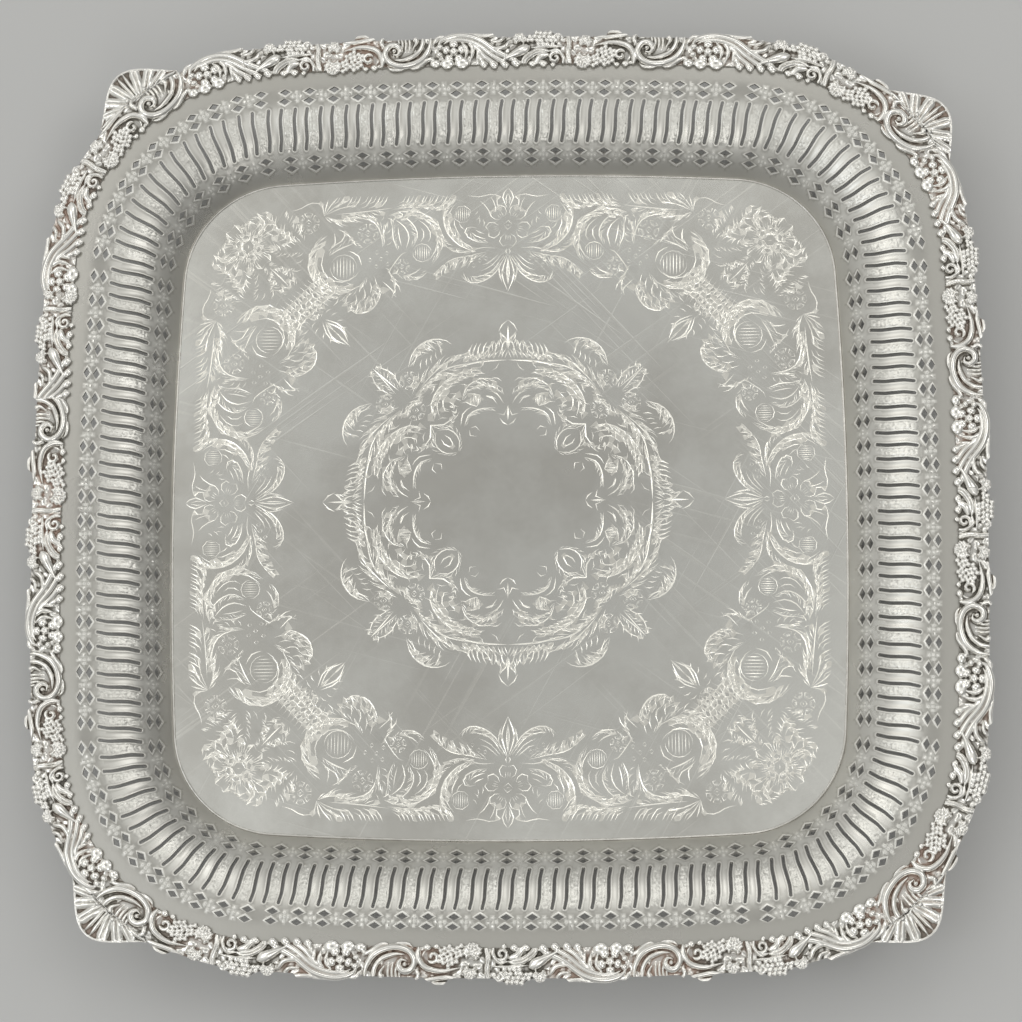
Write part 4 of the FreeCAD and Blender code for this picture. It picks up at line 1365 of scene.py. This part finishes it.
def build_field(material):
    points, heights, edges = [], [], []

    def chain(line, height):
        first = len(points)
        points.extend(map(tuple, line))
        heights.extend(np.broadcast_to(height, len(line)).tolist())
        edges.extend((first + i, first + i + 1) for i in range(len(line) - 1))

    rim_runs = np.linspace(0, RING, 320, endpoint=False)
    rim = np.stack(ring_xy(rim_runs, STEP_REACH), axis=1)
    chain(rim, 0.0)
    edges.append((len(rim) - 1, 0))
    for control, width, shape, times in field_strokes():
        for quarter in range(4):
            for mirror in (1, -1) if times == 8 else (1,):
                line = turned(control * np.array([mirror, 1]), quarter)
                middle, left, right, half = groove(line, width, shape)
                chain(middle, -RNG.uniform(*GROOVE_SLOPES) * half)
                for flank in (left, right):
                    chain(np.vstack([middle[:1], flank[1:-1], middle[-1:]]), 0.0)
    grid = plain_grid()
    points.extend(map(tuple, grid))
    heights.extend([0.0] * len(grid))
    verts, _, faces, origin, _, _ = delaunay_2d_cdt([Vector(p) for p in points], edges, [], 1, MERGED)
    flat = np.array([tuple(v) for v in verts])
    height = np.array([min(heights[k] for k in o) if o else -CROSSING for o in origin])
    tris = [tuple(f) for f in faces]
    # Faces in a groove, which the field's material paints light, partly as a painted highlight
    cut = (height[np.array(tris)].min(axis=1) < -1e-4).astype(float)

    places = {place_key(point, 3): i for i, point in enumerate(flat)}
    upper = [places[place_key(point, 3)] for point in rim]
    parts = [np.column_stack([flat, FIELD_TOP + height])]
    n = len(flat)
    for reach, z in ((STEP_REACH, LEDGE_TOP), (LEDGE_REACH, LEDGE_TOP), (LEDGE_REACH, FIELD_BOTTOM)):
        parts.append(np.column_stack([*ring_xy(rim_runs, reach), np.full(len(rim), z)]))
        lower = list(range(n, n + len(rim)))
        tris += zip(upper, lower, lower[1:] + lower[:1], upper[1:] + upper[:1])
        upper = lower
        n += len(rim)
    tris.append(tuple(reversed(upper)))
    shade = np.concatenate([cut, np.zeros(len(tris) - len(cut))])
    xyz = np.vstack(parts)
    piece("engraved_field", xyz, tris, material, ("field_plate",), shade, FIELD_SHARP)


# Bead and stiffening wire

BEAD_R = 0.5


def swept_ring(runs, section, closed):
    """A section, as (reach, height) points, carried round the salver."""
    reach, height = np.asarray(section, float).T
    x, y = ring_xy(runs[:, None], reach[None, :])
    xyz = np.stack([x, y, np.broadcast_to(height, x.shape)], axis=-1).reshape(-1, 3)
    return xyz, tube_faces(len(runs), len(section), closed=closed)


def build_wires(material):
    bead = [(STEP_REACH, LEDGE_TOP), (0.0, LEDGE_TOP)]
    for a in np.linspace(0, math.pi, 7):
        bead.append((-BEAD_R + BEAD_R * math.cos(a), FIELD_TOP + 0.05 + BEAD_R * math.sin(a)))
    xyz, faces = swept_ring(np.linspace(0, RING, 720, endpoint=False), bead, True)
    piece("bead_ring", xyz, faces, material, ("field_bead",), np.full(len(xyz), 0.35))
    low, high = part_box("rim_wire_south_east")
    radius = (high[2] - low[2]) / 2 / MM
    centre = (high[2] + low[2]) / 2 / MM
    at = high[0] / MM - radius - FIELD_HALF
    wire = [(at + radius * math.cos(a), centre + radius * math.sin(a)) for a in circle(14)]
    for quarter, place in enumerate(CORNERS):
        xyz, faces = swept_ring(np.linspace(0, QUARTER, 220) + quarter * QUARTER, wire, False)
        shade = np.full(len(xyz), PLAIN_SHADE)
        piece(f"wire_{place}", xyz, faces, material, (f"rim_wire_{place}",), shade)


# Crest outside each corner, drawn at x along the border from its middle and y as a reach

CREST_HEIGHT, CREST_ROOT, CREST_SPREAD = 11.8, 3.0, 15.0
CREST_SHIFTS = -6.0, -13.0, -10.0, 6.0  # how far along each corner's crest stands off the diagonal
CREST_HALF = 19.5
CREST_ROWS = 70
CREST_STEP = 0.12
# Lobes on one side: line, half-width, height, taper, and whether a vein runs down it
CREST_LOBES = (
    ([(1.8, 55.4), (3.4, 60.4), (5.0, 67.0)], 2.3, 2.1, (0.5, 0.1), True),
    ([(3.2, 55.0), (6.8, 59.0), (10.2, 63.6)], 2.5, 2.0, (0.5, 0.1), True),
    ([(5.4, 55.0), (10.2, 57.4), (14.6, 60.0)], 2.1, 1.9, (0.5, 0.1), True),
    ([(9.0, 54.6), (13.4, 56.2), (18.8, 57.0)], 1.5, 1.8, (0.3, 0.4), False),
)
CREST_BERRIES = (-4.4, 57.0, 1.5), (4.0, 57.6, 1.5), (-7.6, 56.2, 1.3), (8.0, 56.4, 1.3), (0.0, 56.4, 1.2)
CREST_BASE = BORDER_REACH - 0.6 - CREST_ROOT


def crest_edge(local):
    """Reach of the crest's outer edge, at distances along it from its middle."""
    return CREST_BASE + (CREST_HEIGHT + CREST_ROOT) * np.exp(-((local / CREST_SPREAD) ** 2))


def crest_relief():
    """A palmette of broad veined lobes either side of a split rib."""
    g = Relief(-22.0, 22.0, 50.0, 72.0, CREST_STEP)
    for side, height in ((-1, 2.3), (1, 2.0)):
        g.ridge([(side * 0.9, 54.5), (side * 0.8, 60.0), (side * 1.2, 68.6)], 0.8, height, (0.1, 0.2))
        for line, *form in CREST_LOBES:
            g.ridge([(side * x, y) for x, y in line], *form)
    edge = np.linspace(-18.0, 18.0, 13)
    g.ridge(list(zip(edge, crest_edge(edge) - 0.5)), 0.7, 1.1, (0.1, 0.1))
    for x, y, radius in CREST_BERRIES:
        g.dome((x, y), radius, 2.3)
    return g


def build_crests(material):
    g = crest_relief()
    crevice = recess_shade(g.h)
    limit = CREST_TOP - FLANGE_TOP
    for quarter, (place, shift) in enumerate(zip(CORNERS, CREST_SHIFTS)):
        middle = QUARTER * (quarter + 0.5) + shift
        local = np.linspace(-CREST_HALF, CREST_HALF, 180)
        bell = crest_edge(local) - 0.1
        inner = np.full(len(local), CREST_BASE + 1.0)

        def height(runs, reach, middle=middle):
            fx = (runs - middle - g.x0) / g.step
            fy = np.clip((reach - g.y0) / g.step, 0, len(g.y) - 1.001)
            i = np.clip(np.floor(fx).astype(int), 0, len(g.x) - 2)
            j = np.floor(fy).astype(int)
            return FLANGE_TOP + np.minimum(0.4 + g.h[i, j] * smooth_step(54.8, 57.2, reach), limit)

        xyz, faces, reach = height_slab(middle + local, inner, bell, height, CREST_ROWS)
        rows = ((local[:, None] + 0 * reach - g.x0) / g.step).astype(int)
        cols = np.clip((reach - g.y0) / g.step, 0, len(g.y) - 1).astype(int)
        shade = np.concatenate([crevice[rows, cols].ravel(), np.full(len(xyz) - reach.size, PLAIN_SHADE)])
        node = f"corner_crest_{place}"
        piece(f"cast_{node}", xyz, faces, material, (node,), shade)


# Feet: an oval shell pad, a fluted leg and a rolled toe. They are drawn east of the middle and then turned
# to each corner. The leg's line is x and height, and its halves are along x and y.

FOOT_LINE = ((160.0, 17.2), (160.6, 14.6), (161.6, 11.8), (163.4, 8.8), (166.0, 6.2), (168.6, 4.6))
FOOT_HALVES = ((9.4, 7.6), (7.6, 6.4), (5.8, 5.2), (4.8, 4.5), (4.3, 4.2), (3.4, 3.9))
LEG_RINGS, LEG_AROUND, LEG_FLUTES = 40, 64, 10
TOE_X, TOE_Z, TOE_R, TOE_HALF, TOE_RINGS = 168.0, 3.7, 4.35, 4.9, 30
PAD_X, PAD_Z, PAD_LONG, PAD_WIDE = 160.0, 17.05, 13.0, 10.0
PAD_RINGS, PAD_AROUND, PAD_FLUTES = 14, 120, 18


def foot_leg():
    """Ovals swept down the leg's line and fluted all round."""
    line, halves = smooth_line(FOOT_LINE, 50), smooth_line(FOOT_HALVES, 50)
    pick = np.linspace(0, len(line) - 1, LEG_RINGS).astype(int)
    angle = circle(LEG_AROUND)
    flutes = np.cos(LEG_FLUTES * angle)
    parts = []
    for t, (at, z), (long, wide) in zip(np.linspace(0, 1, LEG_RINGS), line[pick], halves[pick]):
        swell = 1.0 + 0.07 * (1 - 0.5 * t) * flutes
        x, y = at + long * np.cos(angle) * swell, wide * np.sin(angle) * swell
        parts.append(np.column_stack([x, y, z + 0.5 * np.cos(angle) * t]))
    return np.vstack(parts), np.tile(0.5 - 0.45 * flutes, LEG_RINGS)


def foot_toe():
    """A grooved bar across the end of the leg, flat where it stands on the table."""
    angle = circle(LEG_AROUND)
    parts = []
    for y in np.linspace(-TOE_HALF, TOE_HALF, TOE_RINGS):
        edge = math.sqrt(max(0.0, 1 - (abs(y) / TOE_HALF) ** 6))
        grooves = 1.0 - 0.05 * (0.5 + 0.5 * math.cos(y * 4.2))
        r = TOE_R * (0.80 + 0.20 * edge) * grooves
        z = np.maximum(TOE_Z + r * np.sin(angle), 0.0)
        parts.append(np.column_stack([TOE_X + r * np.cos(angle), np.full(LEG_AROUND, y), z]))
    return np.vstack(parts), np.full(TOE_RINGS * LEG_AROUND, 0.35)


def shell_pad():
    """The oval pad, fluted like a shell round its edge, and its flat top against the field."""
    angle = circle(PAD_AROUND)
    flutes = np.cos(PAD_FLUTES * angle)
    parts, shades = [], []
    for t in np.arange(PAD_RINGS) / (PAD_RINGS - 1):
        share = 0.5 + 0.5 * t
        scallop = 1.0 + 0.03 * t * flutes
        x, y = PAD_X + PAD_LONG * share * np.cos(angle) * scallop, PAD_WIDE * share * np.sin(angle) * scallop
        z = PAD_Z + 0.25 * t * (0.5 + 0.5 * np.cos(PAD_FLUTES * angle + math.pi)) + 0.6 * t**3
        parts.append(np.column_stack([x, y, z]))
        shades.append(0.3 - 0.3 * t * flutes)
    parts.append(np.column_stack([x, y, np.full(PAD_AROUND, FIELD_BOTTOM)]))
    shades.append(np.full(PAD_AROUND, 0.6))
    return np.vstack(parts), tube_faces(PAD_RINGS + 1, PAD_AROUND), np.concatenate(shades)


def build_feet(material):
    leg, leg_shade = foot_leg()
    toe, toe_shade = foot_toe()
    foot, foot_shade = np.vstack([leg, toe]), np.concatenate([leg_shade, toe_shade])
    faces = tube_faces(LEG_RINGS, LEG_AROUND, flip=True) + tube_faces(TOE_RINGS, LEG_AROUND, len(leg))
    pad, pad_faces, pad_shade = shell_pad()
    for quarter, place in enumerate(CORNERS):
        spin = math.radians(90 * quarter - 45)
        c, s = math.cos(spin), math.sin(spin)
        turn = np.array([[c, s, 0], [-s, c, 0], [0, 0, 1]])
        node, under = f"foot_{place}", f"foot_pad_{place}"
        piece(f"scroll_{node}", foot @ turn, faces, material, (node,), foot_shade)
        piece(f"shell_pad_{place}", pad @ turn, pad_faces, material, (under,), pad_shade)


# Camera, lights and floor, in metres. The camera's place is counted from the top of the field. It and the way
# the camera faces were fitted to the photo.

CAMERA_AT = Vector((0.0497, -0.1820, 1.0287))
CAMERA_BACK = Vector((0.0463, -0.1699, 0.9844)).normalized()
LENS = 85.94
WARM_WHITE = (1.0, 0.99, 0.96)
FLOOR_HALF = 10.0
FLOOR_GREY = (0.60, 0.60, 0.60, 1.0)


def build_camera():
    data = bpy.data.cameras.new("camera")
    data.lens = LENS
    data.sensor_width = 36.0
    camera = bpy.data.objects.new("camera", data)
    camera.location = CAMERA_AT + Vector((0, 0, FIELD_TOP * MM))
    right = Vector((0, 1, 0)).cross(CAMERA_BACK).normalized()
    up = CAMERA_BACK.cross(right)
    camera.rotation_euler = Matrix((right, up, CAMERA_BACK)).transposed().to_euler()
    bpy.context.scene.collection.objects.link(camera)
    bpy.context.scene.camera = camera


def softbox(name, at, size, radiance, colour):
    """A square panel that faces the salver and looks this bright in it."""
    data = bpy.data.lights.new(name, "AREA")
    data.shape = "SQUARE"
    data.size = size
    data.energy = radiance * math.pi * size**2
    data.color = colour
    lamp = bpy.data.objects.new(name, data)
    lamp.location = at
    lamp.rotation_euler = Vector(at).to_track_quat("Z", "Y").to_euler()
    bpy.context.scene.collection.objects.link(lamp)


# How bright the room is at each cosine from its axis, which is what the flat field mirrors to the camera
ROOM_AXIS = Vector((-0.05, 0.175, 1.0)).normalized()
ROOM_LEAN = (-0.28, 0.04, 0.0)
ROOM_LEVELS = (
    (0.0, 0.22), (0.20, 0.42), (0.45, 0.50), (0.66, 0.54), (0.80, 0.80),
    (0.93, 0.92), (0.972, 0.72), (0.990, 0.42), (1.0, 0.28),
)


def build_world():
    """A soft room: dim on its axis, brightest in a ring round that, dim at the horizon and to the right."""
    world = bpy.data.worlds.new("soft_studio")
    bpy.context.scene.world = world
    nodes = Nodes(world, "Generated")

    def along(axis):
        return nodes.add("VectorMath", {0: nodes.coords, 1: axis}, operation="DOT_PRODUCT").outputs["Value"]

    levels = [(at, (value, value, value * 0.965)) for at, value in ROOM_LEVELS]
    colour = nodes.ramp(along(ROOM_AXIS), levels)
    strength = nodes.maths("ADD", along(ROOM_LEAN), 1.0)
    back = nodes.add("Background", {"Color": colour, "Strength": strength})
    nodes.add("OutputWorld", {"Surface": back.outputs["Background"]})


def build_floor():
    corners = [(-FLOOR_HALF, -FLOOR_HALF, 0), (FLOOR_HALF, -FLOOR_HALF, 0)]
    corners += [(FLOOR_HALF, FLOOR_HALF, 0), (-FLOOR_HALF, FLOOR_HALF, 0)]
    mesh = bpy.data.meshes.new("floor")
    mesh.from_pydata(corners, [], [(0, 1, 2, 3)])
    mesh.materials.append(material_nodes("pale_floor").surface(Base_Color=FLOOR_GREY, Roughness=0.9))
    floor = bpy.data.objects.new("floor", mesh)
    bpy.context.scene.collection.objects.link(floor)


def build_studio():
    build_world()
    softbox("key_left", (-0.86, 0.50, 1.32), 0.50, 1.0, (1.0, 0.98, 0.93))
    softbox("window_left", (-0.80, -0.30, 1.40), 0.42, 1.6, (0.90, 0.95, 1.0))
    softbox("fill_right", (0.92, 0.30, 1.30), 0.50, 1.6, WARM_WHITE)
    softbox("back_top", (0.15, 1.05, 1.35), 0.45, 1.3, WARM_WHITE)
    softbox("front_low", (0.25, -1.00, 1.35), 0.50, 1.6, WARM_WHITE)
    build_floor()
    bpy.context.scene.view_settings.view_transform = "Standard"


def build():
    cast = cast_material("cast_silver_border", 0.6)
    plain = cast_material("plain_silver", 0.0)
    build_border(cast)
    build_crests(cast)
    build_gallery(gallery_material())
    build_field(field_material())
    build_wires(plain)
    build_feet(plain)
    build_camera()
    build_studio()


build()
